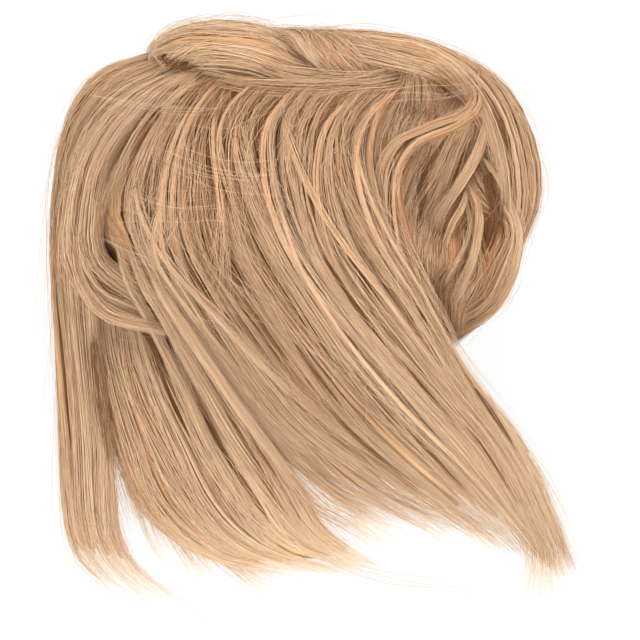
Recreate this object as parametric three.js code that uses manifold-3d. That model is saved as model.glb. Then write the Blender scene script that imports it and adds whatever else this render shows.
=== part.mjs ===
// Updo hairpiece: a hollow puff of hair round an elastic band, with fused locks of straight hair
// laid over it. Millimetres, +Z up, the piece lying on a table at z = 0.
import * as THREE from "three";
import Module from "manifold-3d";

const manifold = await Module();
manifold.setup();
const { Manifold, Mesh } = manifold;

// Driving sizes
const GAP = 0.35;
const BAND_RADIUS = 27;
const BAND_HALF_WIDTH = 3.6;
const BAND_HEIGHT = 7.2;
const BAND_EDGE = 1.2;
const BAND_SEGMENTS = 28;

const PUFF_HALF_LENGTH = 90;
const PUFF_HALF_WIDTH = 56;
const PUFF_HEIGHT = 76;
const PUFF_WAIST = 22;
const PUFF_FOOT_SHARE = 0.86;
const PUFF_SEGMENTS = 26;
const PUFF_ROWS = 6;
const HOLLOW_RADIUS = 31;
const HOLLOW_HEIGHT = 52;
const HOLLOW_DOME = 14;
const HOLLOW_SHOULDER_SHARE = 0.85;
const HOLLOW_SHOULDER_DROP = 0.4;
const HOLLOW_CROWN_SHARE = 0.5;
const HOLLOW_RUN_OUT = 10;

// Dent under the right-hand pocket: centre and half sizes
const POCKET_CENTRE = new THREE.Vector3(70, -2, 74);
const POCKET_HALF = new THREE.Vector3(30, 34, 40);
const POCKET_SEGMENTS = 16;
const POCKET_ROWS = 10;

const LOCK_SIDES = 6;
const LOCK_OVERLAP = 1.22;
const LOCK_ROOT_SHARE = 0.85;
const LOCK_TIP_SHARE = 0.5;
const LOCK_ROOT_LENGTH = 0.2;
const LOCK_TIP_LENGTH = 0.17;
const STEPS_PER_SPAN = 1.15;

// The table under the piece trims whatever would lie below it.
const TABLE_SIZE = 600;
const TABLE_DEPTH = 100;

// Hair colours
const HAIR_LIGHT = 0xd2a87d;
const HAIR_MIDDLE = 0xc49a72;
const HAIR_DEEP = 0xa57c57;
const BAND_COLOUR = 0x8a6a4c;

// Sections of hair. A guide row is one line of hair seen in plan, [x, y] at each named station.
// Its height at a station is the section height there times the share of the guide.
// Depth is the half thickness of the locks at each station.
const LOW_TAIL = {
  name: "low_tail",
  colour: HAIR_LIGHT,
  locks: 5,
  height: { root: 12, upper: 12, middle: 11, lower: 9, bend: 6, tip: 3 },
  depth: { root: 8, upper: 9, middle: 8, lower: 6, bend: 4, tip: 1.5 },
  guides: [
    { share: 0.8, root: [-82, -40], upper: [-80, -75], middle: [-77, -107], lower: [-67, -135],
      bend: [-43, -155], tip: [-4, -164] },
    { share: 1, root: [-70, -40], upper: [-62, -75], middle: [-50, -105], lower: [-36, -134],
      bend: [-14, -154], tip: [23, -165] },
    { share: 1.2, root: [-58, -43], upper: [-46, -75], middle: [-32, -103], lower: [-15, -131],
      bend: [3, -151], tip: [33, -164] },
    { share: 1.3, root: [-45, -47], upper: [-28, -77], middle: [-10, -103], lower: [4, -126],
      bend: [16, -147], tip: [40, -162] },
  ],
};

const LEFT_TAIL = {
  name: "left_tail",
  colour: HAIR_LIGHT,
  locks: 4,
  height: { root: 54, shoulder: 47, side: 38, drop: 28, upper: 19, middle: 12, lower: 8, tip: 3 },
  depth: { root: 4, shoulder: 6, side: 7, drop: 8, upper: 8, middle: 7, lower: 5, tip: 1.5 },
  guides: [
    { share: 0.9, root: [-62, 53], shoulder: [-80, 47], side: [-91, 30], drop: [-95, 0],
      upper: [-98, -40], middle: [-99, -83], lower: [-97, -124], tip: [-87, -163] },
    { share: 1.05, root: [-51, 49], shoulder: [-70, 40], side: [-84, 22], drop: [-90, -5],
      upper: [-92, -43], middle: [-89, -83], lower: [-87, -124], tip: [-75, -169] },
    { share: 0.95, root: [-45, 47], shoulder: [-64, 36], side: [-77, 15], drop: [-82, -11],
      upper: [-83, -47], middle: [-78, -85], lower: [-77, -125], tip: [-60, -174] },
  ],
};

const BACK_ROLL = {
  name: "back_roll",
  colour: HAIR_MIDDLE,
  locks: 5,
  height: { start: 48, swell: 57, high: 64, middle: 69, dip: 71, blend: 68, end: 63 },
  depth: { start: 4, swell: 6, high: 7, middle: 7, dip: 7, blend: 6, end: 4 },
  guides: [
    { share: 0.88, start: [-49, 49], swell: [-45, 50], high: [-35, 48], middle: [-21, 46],
      dip: [-7, 44], blend: [8, 43], end: [24, 43] },
    { share: 0.97, start: [-51, 50], swell: [-48, 53], high: [-39, 53], middle: [-27, 52],
      dip: [-13, 49], blend: [4, 45], end: [23, 43] },
    { share: 1, start: [-54, 51], swell: [-51, 54], high: [-42, 57], middle: [-28, 57], dip: [-14, 55],
      blend: [2, 48], end: [23, 44] },
    { share: 0.8, start: [-56, 53], swell: [-53, 57], high: [-43, 60], middle: [-29, 62],
      dip: [-14, 60], blend: [3, 54], end: [25, 45] },
    { share: 0.45, start: [-57, 54], swell: [-53, 58], high: [-43, 62], middle: [-28, 63],
      dip: [-12, 62], blend: [6, 62], end: [30, 60] },
  ],
};

const CROWN_LOCKS = {
  name: "crown_locks",
  colour: HAIR_LIGHT,
  locks: 4,
  height: { start: 60, rise: 68, slope: 68, end: 62 },
  depth: { start: 5, rise: 7, slope: 7, end: 4 },
  guides: [
    { share: 1, start: [-9, 60], rise: [1, 56], slope: [13, 49], end: [27, 44] },
    { share: 1.02, start: [7, 60], rise: [18, 56], slope: [27, 50], end: [37, 44] },
    { share: 1.02, start: [25, 58], rise: [34, 54], slope: [42, 50], end: [50, 46] },
  ],
};

const INNER_LOOP = {
  name: "inner_loop",
  colour: HAIR_DEEP,
  locks: 3,
  height: { start: 50, over: 50, side: 46, low: 38, under: 26, end: 17 },
  depth: { start: 4, over: 6, side: 7, low: 7, under: 6, end: 4 },
  guides: [
    { share: 0.9, start: [82, 11], over: [89, 0], side: [94, -14], low: [93, -33], under: [87, -50],
      end: [71, -64] },
    { share: 1, start: [77, 6], over: [83, -5], side: [87, -19], low: [86, -34], under: [80, -47],
      end: [65, -58] },
    { share: 0.8, start: [72, 3], over: [76, -9], side: [76, -22], low: [73, -33], under: [66, -41],
      end: [57, -47] },
  ],
};

const OUTER_LOOP = {
  name: "outer_loop",
  colour: HAIR_MIDDLE,
  locks: 3,
  height: { start: 58, top: 62, over: 64, shoulder: 62, side: 55, low: 48, end: 38 },
  depth: { start: 4, top: 6, over: 7, shoulder: 7, side: 7, low: 6, end: 3 },
  guides: [
    { share: 1.05, start: [4, 58], top: [33, 55], over: [57, 49], shoulder: [73, 36], side: [82, 18],
      low: [87, -5], end: [86, -25] },
    { share: 0.95, start: [0, 60], top: [32, 58], over: [58, 52], shoulder: [79, 39], side: [90, 20],
      low: [95, -4], end: [91, -26] },
    { share: 0.65, start: [-2, 62], top: [31, 59], over: [59, 53], shoulder: [83, 40], side: [96, 20],
      low: [100, -3], end: [94, -27] },
  ],
};

const LEFT_CURL = {
  name: "left_curl",
  colour: HAIR_MIDDLE,
  locks: 3,
  height: { root: 63, rise: 62, crest: 56, side: 48, drop: 42, curl: 38, tuck: 36, end: 31 },
  depth: { root: 4, rise: 6, crest: 7, side: 7, drop: 7, curl: 7, tuck: 6, end: 4 },
  guides: [
    { share: 0.88, root: [-43, 47], rise: [-64, 37], crest: [-80, 18], side: [-87, -3],
      drop: [-89, -26], curl: [-82, -43], tuck: [-66, -53], end: [-43, -57] },
    { share: 1, root: [-40, 45], rise: [-61, 32], crest: [-76, 13], side: [-82, -7], drop: [-82, -26],
      curl: [-75, -39], tuck: [-59, -47], end: [-38, -54] },
    { share: 1.06, root: [-38, 44], rise: [-57, 29], crest: [-71, 12], side: [-77, -8],
      drop: [-77, -24], curl: [-70, -34], tuck: [-55, -41], end: [-36, -50] },
  ],
};

const POCKET_LOCKS = {
  name: "pocket_locks",
  colour: HAIR_DEEP,
  locks: 3,
  height: { start: 62, upper: 60, middle: 56, lower: 50, end: 42 },
  depth: { start: 3, upper: 4, middle: 5, lower: 5, end: 3 },
  guides: [
    { share: 1, start: [82, 31], upper: [81, 19], middle: [75, 7], lower: [67, -5], end: [61, -17] },
    { share: 0.85, start: [78, 1], upper: [76, -12], middle: [70, -24], lower: [65, -35],
      end: [62, -45] },
    { share: 0.8, start: [81, 0], upper: [81, -13], middle: [78, -26], lower: [73, -37],
      end: [68, -47] },
  ],
};

const FAN_LOCKS = {
  name: "fan_locks",
  colour: HAIR_MIDDLE,
  locks: 3,
  height: { start: 62, upper: 62, lower: 58, end: 50 },
  depth: { start: 3, upper: 5, lower: 6, end: 4 },
  guides: [
    { share: 1.05, start: [47, 48], upper: [45, 40], lower: [41, 32], end: [36, 24] },
    { share: 0.95, start: [52, 49], upper: [54, 41], lower: [55, 32], end: [53, 22] },
    { share: 0.85, start: [56, 49], upper: [65, 43], lower: [71, 35], end: [71, 24] },
  ],
};

const S_CURL = {
  name: "s_curl",
  colour: HAIR_LIGHT,
  locks: 3,
  height: { start: 64, bend: 71, cross: 76, hook: 79, back: 77, fall: 71, hem: 58, drop: 35, tip: 8 },
  depth: { start: 3, bend: 4, cross: 4, hook: 5, back: 5, fall: 6, hem: 6, drop: 4, tip: 1.5 },
  guides: [
    { share: 0.98, start: [75, 45], bend: [76, 32], cross: [64, 24], hook: [49, 20], back: [40, 8],
      fall: [41, -9], hem: [52, -36], drop: [70, -71], tip: [108, -135] },
    { share: 1.02, start: [79, 43], bend: [79, 31], cross: [68, 22], hook: [53, 15], back: [46, 2],
      fall: [48, -18], hem: [59, -43], drop: [76, -77], tip: [115, -141] },
  ],
};

const FRONT_FALL = {
  name: "front_fall",
  colour: HAIR_LIGHT,
  locks: 8,
  height: { root: 62, sweep: 73, rise: 81, crest: 86, flank: 78, turn: 62, hem: 42, fall: 22, tip: 5 },
  depth: { root: 4, sweep: 6, rise: 9, crest: 11, flank: 11, turn: 9, hem: 7, fall: 5, tip: 1.5 },
  guides: [
    { share: 0.84, root: [-35, 47], sweep: [-42, 40], rise: [-52, 28], crest: [-64, 10],
      flank: [-69, -8], turn: [-61, -30], hem: [-46, -58], fall: [-23, -95], tip: [24, -136] },
    { share: 0.95, root: [-11, 44], sweep: [-24, 38], rise: [-34, 22], crest: [-37, 1],
      flank: [-33, -23], turn: [-19, -49], hem: [0, -79], fall: [24, -107], tip: [69, -143] },
    { share: 1, root: [23, 43], sweep: [4, 38], rise: [-9, 24], crest: [-11, 4], flank: [-2, -22],
      turn: [17, -51], hem: [42, -83], fall: [69, -114], tip: [102, -154] },
    { share: 0.96, root: [44, 44], sweep: [29, 38], rise: [17, 26], crest: [13, 6], flank: [22, -21],
      turn: [41, -49], hem: [62, -78], fall: [87, -109], tip: [113, -158] },
    { share: 0.8, root: [53, 46], sweep: [48, 39], rise: [41, 28], crest: [35, 10], flank: [40, -16],
      turn: [53, -43], hem: [70, -74], fall: [97, -108], tip: [120, -155] },
  ],
};

// Each section is cut back where an earlier one already lies.
const SECTIONS = [
  LOW_TAIL, LEFT_TAIL, BACK_ROLL, CROWN_LOCKS, INNER_LOOP, OUTER_LOOP, LEFT_CURL, FAN_LOCKS,
  POCKET_LOCKS, S_CURL, FRONT_FALL,
];

// From a surface to a solid body and back
function solidOf(geometry) {
  const position = geometry.getAttribute("position");
  const mesh = new Mesh({
    numProp: 3,
    vertProperties: new Float32Array(position.array),
    triVerts: new Uint32Array(geometry.getIndex().array),
  });
  mesh.merge();
  return new Manifold(mesh);
}

function geometryOf(solid) {
  const mesh = solid.getMesh();
  const geometry = new THREE.BufferGeometry();
  const positions = new Float32Array(mesh.numVert * 3);
  for (let vertex = 0; vertex < mesh.numVert; vertex += 1) {
    for (let axis = 0; axis < 3; axis += 1) {
      positions[vertex * 3 + axis] = mesh.vertProperties[vertex * mesh.numProp + axis];
    }
  }
  geometry.setAttribute("position", new THREE.BufferAttribute(positions, 3));
  geometry.setIndex(new THREE.BufferAttribute(new Uint32Array(mesh.triVerts), 1));
  geometry.computeVertexNormals();
  return geometry;
}

function largestBody(solid) {
  const bodies = solid.decompose();
  return bodies.reduce((best, body) => (body.volume() > best.volume() ? body : best));
}

// A turned solid from a profile of [radius, height] rows, standing along +Z
function turned(profile, segments) {
  const points = profile.map(([radius, height]) => new THREE.Vector2(radius, height));
  const geometry = new THREE.LatheGeometry(points, segments);
  geometry.rotateX(Math.PI / 2);
  return geometry;
}

// Elastic band: flat foot and crown, rounded sides, closed ring profile
function bandSolid() {
  const inner = BAND_RADIUS - BAND_HALF_WIDTH;
  const outer = BAND_RADIUS + BAND_HALF_WIDTH;
  const profile = [
    [inner + BAND_EDGE, 0],
    [outer - BAND_EDGE, 0],
    [outer, BAND_EDGE],
    [outer, BAND_HEIGHT - BAND_EDGE],
    [outer - BAND_EDGE, BAND_HEIGHT],
    [inner + BAND_EDGE, BAND_HEIGHT],
    [inner, BAND_HEIGHT - BAND_EDGE],
    [inner, BAND_EDGE],
    [inner + BAND_EDGE, 0],
  ];
  return solidOf(turned(profile, BAND_SEGMENTS));
}

// Inner hair: a low dome with a drawn-in foot, hollow underneath for the ponytail and the band
function puffOutline(grow) {
  const profile = [[0, -grow], [PUFF_FOOT_SHARE, -grow]];
  for (let row = 0; row <= PUFF_ROWS; row += 1) {
    const turn = (row / PUFF_ROWS) * (Math.PI / 2);
    const height = PUFF_WAIST + (PUFF_HEIGHT - PUFF_WAIST + grow) * Math.sin(turn);
    profile.push([row === PUFF_ROWS ? 0 : Math.cos(turn), height]);
  }
  const geometry = turned(profile, PUFF_SEGMENTS);
  geometry.scale(PUFF_HALF_LENGTH + grow, PUFF_HALF_WIDTH + grow, 1);
  return solidOf(geometry);
}

function hollowSolid() {
  const profile = [
    [0, -HOLLOW_RUN_OUT],
    [HOLLOW_RADIUS, -HOLLOW_RUN_OUT],
    [HOLLOW_RADIUS, HOLLOW_HEIGHT - HOLLOW_DOME],
    [HOLLOW_RADIUS * HOLLOW_SHOULDER_SHARE, HOLLOW_HEIGHT - HOLLOW_DOME * HOLLOW_SHOULDER_DROP],
    [HOLLOW_RADIUS * HOLLOW_CROWN_SHARE, HOLLOW_HEIGHT],
    [0, HOLLOW_HEIGHT],
  ];
  return solidOf(turned(profile, PUFF_SEGMENTS));
}

function pocketSolid(grow) {
  const geometry = new THREE.SphereGeometry(1, POCKET_SEGMENTS, POCKET_ROWS);
  geometry.scale(POCKET_HALF.x - grow, POCKET_HALF.y - grow, POCKET_HALF.z - grow);
  geometry.translate(POCKET_CENTRE.x, POCKET_CENTRE.y, POCKET_CENTRE.z);
  return solidOf(geometry);
}

function puffSolid(grow) {
  const body = puffOutline(grow).subtract(pocketSolid(grow));
  return grow > 0 ? body : body.subtract(hollowSolid());
}

// The line of hair that runs through every station at one place across a section, 0 to 1
function hairLine(section, across) {
  const stations = Object.keys(section.height);
  const points = stations.map((station) => {
    const row = section.guides.map((guide) => {
      const [x, y] = guide[station];
      return new THREE.Vector3(x, y, section.height[station] * guide.share);
    });
    return new THREE.CatmullRomCurve3(row).getPoint(across);
  });
  return new THREE.CatmullRomCurve3(points);
}

function depthAt(section, place) {
  const rows = Object.values(section.depth);
  const at = place * (rows.length - 1);
  const from = Math.min(Math.floor(at), rows.length - 2);
  return THREE.MathUtils.lerp(rows[from], rows[from + 1], at - from);
}

// One lock: an oval swept along its line, as wide as its share of the section, closed at both ends
function lockSolid(section, index, grow) {
  const half = 0.5 / section.locks;
  const middle = (index + 0.5) / section.locks;
  const line = hairLine(section, middle);
  const near = hairLine(section, middle - half);
  const far = hairLine(section, middle + half);
  const steps = Math.round((Object.keys(section.height).length - 1) * STEPS_PER_SPAN);
  const positions = [];
  const faces = [];
  for (let step = 0; step <= steps; step += 1) {
    const place = step / steps;
    const centre = line.getPoint(place);
    const along = line.getTangent(place);
    const across = far.getPoint(place).sub(near.getPoint(place)).multiplyScalar(0.5);
    const outward = new THREE.Vector3().crossVectors(along, across).normalize();
    const side = new THREE.Vector3().crossVectors(outward, along).normalize();
    const rise = Math.min(1, place / LOCK_ROOT_LENGTH);
    const fall = Math.min(1, (1 - place) / LOCK_TIP_LENGTH);
    const taper = Math.min(
      THREE.MathUtils.lerp(LOCK_ROOT_SHARE, 1, rise),
      THREE.MathUtils.lerp(LOCK_TIP_SHARE, 1, fall),
    );
    const halfWidth = Math.abs(across.dot(side)) * LOCK_OVERLAP * taper + grow;
    const halfDepth = depthAt(section, place) + grow;
    if (step === 0) centre.addScaledVector(along, -grow);
    if (step === steps) centre.addScaledVector(along, grow);
    for (let corner = 0; corner < LOCK_SIDES; corner += 1) {
      const turn = (corner / LOCK_SIDES) * Math.PI * 2;
      const point = centre.clone();
      point.addScaledVector(side, Math.cos(turn) * halfWidth);
      point.addScaledVector(outward, Math.sin(turn) * halfDepth);
      positions.push(point.x, point.y, point.z);
    }
  }
  for (let step = 0; step < steps; step += 1) {
    for (let corner = 0; corner < LOCK_SIDES; corner += 1) {
      const a = step * LOCK_SIDES + corner;
      const b = step * LOCK_SIDES + ((corner + 1) % LOCK_SIDES);
      faces.push(a, b, a + LOCK_SIDES, b, b + LOCK_SIDES, a + LOCK_SIDES);
    }
  }
  const last = steps * LOCK_SIDES;
  for (let corner = 1; corner < LOCK_SIDES - 1; corner += 1) {
    faces.push(0, corner + 1, corner);
    faces.push(last, last + corner, last + corner + 1);
  }
  const geometry = new THREE.BufferGeometry();
  geometry.setAttribute("position", new THREE.Float32BufferAttribute(positions, 3));
  geometry.setIndex(faces);
  return solidOf(geometry);
}

function sectionSolid(section, grow) {
  const locks = [];
  for (let index = 0; index < section.locks; index += 1) locks.push(lockSolid(section, index, grow));
  return Manifold.union(locks);
}

// Assembly
const hairpiece = new THREE.Group();
hairpiece.name = "updo_hairpiece";

function addPiece(name, solid, colour, roughness) {
  const material = new THREE.MeshStandardMaterial({ color: colour, roughness, metalness: 0 });
  const mesh = new THREE.Mesh(geometryOf(solid), material);
  mesh.name = name;
  hairpiece.add(mesh);
}

addPiece("elastic_band", bandSolid(), BAND_COLOUR, 0.8);
addPiece("inner_hair", largestBody(puffSolid(0)), HAIR_DEEP, 0.6);

let taken = puffSolid(GAP);
const table = new THREE.BoxGeometry(TABLE_SIZE, TABLE_SIZE, TABLE_DEPTH).translate(0, 0, -TABLE_DEPTH / 2);
const below = solidOf(table);
for (const section of SECTIONS) {
  const solid = largestBody(sectionSolid(section, 0).subtract(taken).subtract(below));
  addPiece(section.name, solid, section.colour, 0.55);
  taken = taken.add(sectionSolid(section, GAP));
}

// The origin goes to the middle of the foot of the whole piece.
const box = new THREE.Box3().setFromObject(hairpiece);
const middle = box.getCenter(new THREE.Vector3());
hairpiece.position.set(-middle.x, -middle.y, -box.min.z);
hairpiece.updateMatrixWorld(true);

export default hairpiece;
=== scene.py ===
import math

import bpy
import numpy as np
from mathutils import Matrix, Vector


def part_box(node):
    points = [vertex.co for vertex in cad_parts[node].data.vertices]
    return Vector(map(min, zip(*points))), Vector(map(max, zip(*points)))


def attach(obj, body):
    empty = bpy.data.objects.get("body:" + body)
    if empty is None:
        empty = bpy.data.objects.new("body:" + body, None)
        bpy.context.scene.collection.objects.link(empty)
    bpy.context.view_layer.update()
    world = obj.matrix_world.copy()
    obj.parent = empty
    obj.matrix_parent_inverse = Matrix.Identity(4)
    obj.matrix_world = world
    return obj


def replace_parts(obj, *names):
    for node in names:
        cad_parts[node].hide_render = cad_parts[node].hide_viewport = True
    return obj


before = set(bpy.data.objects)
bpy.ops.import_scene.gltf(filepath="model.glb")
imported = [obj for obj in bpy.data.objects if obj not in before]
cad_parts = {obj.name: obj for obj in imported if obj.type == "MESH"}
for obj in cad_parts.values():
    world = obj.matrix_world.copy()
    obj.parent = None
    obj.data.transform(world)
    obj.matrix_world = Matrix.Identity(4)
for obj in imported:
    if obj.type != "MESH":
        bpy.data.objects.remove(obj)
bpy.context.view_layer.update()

BODY = "root"
MM = 0.001
FULL_TURN = 2 * math.pi
UP = np.array([0.0, 0.0, 1.0])
NEARLY_UP = np.array([0.03, 0.05, 1.0])
TINY = 1e-9
rng = np.random.default_rng(7369)

# The layout below is in millimetres from the middle of the elastic band, on the table.
band_low, band_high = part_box("elastic_band")
BAND_CENTRE = np.array([(band_low.x + band_high.x) / 2, (band_low.y + band_high.y) / 2, 0.0])

# Camera straight above with a long lens: height in metres, place in plan in millimetres of the layout
CAMERA_HEIGHT = 1.4
CAMERA_PLAN = (12.6, -55.44)
CAMERA_LENS = 182.14
CAMERA_SENSOR = 36.0

# Floor and soft light: sizes and places in metres, power in watts
FLOOR_SIZE = 8
FLOOR_LEVEL = -0.0005
FLOOR_GREY = (0.06, 0.06, 0.06, 1)
FLOOR_GLOW = 0.9
WHITE = (1, 1, 1, 1)
ROOM_LIGHT = 1.02
SOFTBOXES = (
    dict(name="top_left_softbox", place=(-0.75, 0.55, 1.0), size=0.9, power=8.7),
    dict(name="top_right_softbox", place=(0.75, 0.55, 1.0), size=0.9, power=10.1),
    dict(name="front_softbox", place=(0.1, -0.95, 1.0), size=1.0, power=12.2),
)

# Elastic band, millimetres
BAND_RADIUS = 27.0
BAND_HALF_WIDTH = 3.5
BAND_HEIGHT = 7.1
BAND_FOOT = 0.02
BAND_RIBS = 150
RIB_HEIGHT = 0.03
BAND_CORNER = 0.5
BAND_STEPS = 240
BAND_SIDES = 12

# Hollow puff, millimetres. The foot and the hollow are rows of (share of the plan, height).
PUFF_HALF_LENGTH = 89.0
PUFF_HALF_WIDTH = 55.0
PUFF_HEIGHT = 75.0
PUFF_WAIST = 22.0
PUFF_FOOT = ((0.7, 0.3), (0.82, 0.5), (0.88, 3.0), (0.95, 11.0), (1.0, PUFF_WAIST))
PUFF_CLEARANCE = 1.5
PUFF_SEGMENTS = 96
PUFF_LIFTS = np.linspace(0, 0.985, 22)
HOLLOW_RADIUS = 31.4
HOLLOW_HEIGHT = 52.0
HOLLOW_DOME = 14.0
HOLLOW_ROWS = (
    (0.02, HOLLOW_HEIGHT), (0.5, HOLLOW_HEIGHT), (0.85, HOLLOW_HEIGHT - 0.4 * HOLLOW_DOME),
    (1, HOLLOW_HEIGHT - HOLLOW_DOME), (1, 24), (1, 12), (1, 0.6), (1.06, 0.3),
)
POCKET_CENTRE = np.array([70.0, -2.0, 74.0])
POCKET_HALF = np.array([30.0, 34.0, 40.0])

# Strands of the puff: sweep in radians, lift from the waist (0) to the top (1), width in strand radii.
# A pair is the range of a random draw, and a spread is the scatter of one.
COIL = dict(
    strands=420, steps=11, sweep=(0.5, 1.1), lift=(-0.12, 0.55), low_share=0.4, low_lift=0.3,
    climb_spread=0.06, highest=0.9, foot_drop=8, off=(0.002, 0.012), pocket_edge=1.1, pocket_foot=30,
    width=(1.3, 2.0), tone=0.4, tone_spread=0.13,
)
FOOT = dict(
    strands=200, steps=11, heading_spread=0.12, rim_gap=0.6, outer_start=0.4, off=1.004, rise=(0.0, 0.5),
    width=(1.3, 2.0), tone=0.4, tone_spread=0.12,
)

# Strands and under-hair of the sections: radius, clearance and ride depth in millimetres.
# A taper is a row of places along the hair, and the share of the width at each.
STRAND_RADIUS = 0.128
STRAND_SIDES = 3
STRAND_TAPER = ([0, 0.1, 0.7, 1], [0.6, 1.0, 0.9, 0.25])
FLOOR_CLEARANCE = 0.3
FINE_STEPS = 8
BODY_SIDES = 10
BODY_STEPS = 17
BODY_TAPER = ([0, 0.06, 0.93, 1], [0.55, 1, 0.95, 0.08])
BODY_WIDTH = 0.96
RIDGE_SPREAD = 0.06
BASE_DEPTH = 0.55
BASE_DROP = 0.3
BASE_PLAN = dict(uneven=0.0, fill=1.4, pinch=0.0, wander=0.1)
FULL_RIDE_DEPTH = 5
LEAST_RIDE = 0.2
SLIT_REACH = 4
DRIFT_SPEED = (0.6, 1.4)
QUICK_SHARE = 0.5
PIECE_TRIANGLES = 190000

# Loose hairs over the sections: start and run as shares of the length, width in strand radii
FLYAWAY = dict(
    edge_share=0.7, edge_width=0.12, start=(-0.02, 0.75), run=(0.15, 0.45), end=1.03, reach=(0.1, 1.0),
    reach_lean=1.5, bow=(0.8, 2.2), level=(0.2, 1.0), lift=(0.0, 0.6), width=(0.45, 0.65), tone=(0.3, 0.85),
)
CROSSING = dict(
    start=(0.02, 0.75), run=(0.1, 0.32), slant_spread=0.13, bow_spread=0.07, clear=(0.9, 2.0),
    arch=(0.0, 2.0), width=(0.5, 0.75), tone=(0.5, 0.8),
)
STRAY_LOCK = dict(
    strands=28, steps=14, start=(0.04, 0.45), own_start=(-0.02, 0.02), run=(0.3, 0.55), own_run=(-0.05, 0.05),
    slant_spread=0.1, bow_spread=0.04, half=(0.008, 0.016), taper=([0, 0.3, 0.7, 1], [0.5, 1, 1, 0.6]),
    across=(0.05, 0.95), side_spread=0.5, sway=0.15, turns=0.7, arch=0.5, crown=0.3,
    width=(0.8, 1.1), tone=0.42, tone_spread=0.11,
)
# Painted shade: dark strands laid deep in the partings
PARTING_SHADE = dict(
    strands=14, more_strands=300, spindle=0.7, run=(0.8, 1.2), level=(0.85, 0.97), width=(0.9, 1.3),
)
WISP = dict(
    route_points=120, more_steps=6, start=(0.0, 0.1), ragged=0.3, ragged_lean=1.6,
    taper_at=[0, 0.3, 0.7, 1], root=0.6, flare=1.5, shade_flare=0.4,
    sway=0.12, turns=0.8, flatness=0.45, width=(0.65, 1.0), fine_width=0.55, tone=0.5, tone_spread=0.17,
)

# Map for the bake: a column for each tone across, the length of the hair along. Margins are shares.
BAKE_MAP = "OFBake"
TONE_COLUMNS = 64
STRAND_MARGIN = 0.02
SOLID_MARGIN = 0.01
COLUMN_MARGIN = 0.15
LOCK_MARGIN = 0.05

# Colours of the fibre, from deep to pale
HAIR_DARK = (0.44, 0.215, 0.092)
HAIR_MIDDLE = (0.68, 0.397, 0.193)
HAIR_PALE = (0.88, 0.665, 0.445)
# Painted light: the tip colour is paler, as if light shone through the thin loose ends
HAIR_TIP_LIT = (0.96, 0.76, 0.53)
# Painted shade: colours of the dark strands laid in crevices, pockets and partings where the hair lies in
# shadow
PAINTED_SHADE_DARK = (0.17, 0.07, 0.028)
PAINTED_SHADE_PALE = (0.42, 0.21, 0.092)
# Under-hair, painted darker than the top strands as shade between them; its tip colour is painted light
# through the thin ends
UNDER_SHADED_DARK = (0.21, 0.09, 0.037)
UNDER_SHADED_PALE = (0.52, 0.285, 0.132)
UNDER_TIP_LIT = (0.80, 0.54, 0.30)
ELASTIC_DARK = (0.10, 0.055, 0.03)
ELASTIC_PALE = (0.26, 0.155, 0.09)

# Change of tone along a strand: its rise from root to tip, and where it is nil
FALL_RISE = 0.62
BLOND_RISE = 0.12
TAIL_RISE = 0.08
RISE_MIDDLE = 0.55

# Streaks of a finish: how many across and along the bake map, and how strong they are
STRAND_STREAKS = (90.0, 7.0)
FINE_STREAKS = (900.0, 6.0)
BROAD_STREAKS = (150.0, 3.0)
STRAND_CONTRAST = 0.2
FINE_CONTRAST = 1.8
BROAD_CONTRAST = 0.7
UNDER_TONE = 0.38

# Sections of hair. A guide row is one line of hair seen in plan, (x, y) at each named station.
# Its height at a station is the section height there times the share of the guide.
# Depth is how far the hair stands off the guide's line at each station.
# A section on the puff is kept above the puff's surface.
LOW_TAIL = {
    "height": dict(root=12, upper=12, middle=11, lower=9, bend=6, tip=3),
    "depth": dict(root=8, upper=9, middle=8, lower=6, bend=4, tip=1.5),
    "guides": [
        dict(share=0.8, root=(-85, -40), upper=(-83, -75), middle=(-76, -107), lower=(-63, -136),
             bend=(-38, -157), tip=(-1, -166)),
        dict(share=1, root=(-70, -40), upper=(-62, -75), middle=(-50, -105), lower=(-36, -134),
             bend=(-14, -154), tip=(23, -165)),
        dict(share=1.2, root=(-58, -43), upper=(-46, -75), middle=(-32, -103), lower=(-15, -131),
             bend=(3, -151), tip=(33, -164)),
        dict(share=1.3, root=(-45, -47), upper=(-28, -77), middle=(-10, -103), lower=(4, -126),
             bend=(16, -147), tip=(40, -162)),
    ],
}

LEFT_TAIL = {
    "height": dict(root=54, shoulder=47, side=38, drop=28, upper=19, middle=12, lower=8, tip=3),
    "depth": dict(root=4, shoulder=6, side=7, drop=8, upper=8, middle=7, lower=5, tip=1.5),
    "guides": [
        dict(share=0.9, root=(-62, 53), shoulder=(-80, 47), side=(-91, 30), drop=(-95, 0),
             upper=(-98, -40), middle=(-99, -98), lower=(-95, -150), tip=(-79, -170)),
        dict(share=1.05, root=(-51, 49), shoulder=(-70, 40), side=(-84, 22), drop=(-90, -5),
             upper=(-92, -43), middle=(-88, -98), lower=(-84, -151), tip=(-64, -175)),
        dict(share=0.95, root=(-45, 47), shoulder=(-64, 36), side=(-77, 15), drop=(-82, -11),
             upper=(-83, -47), middle=(-77, -100), lower=(-72, -153), tip=(-46, -178)),
    ],
}

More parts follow.
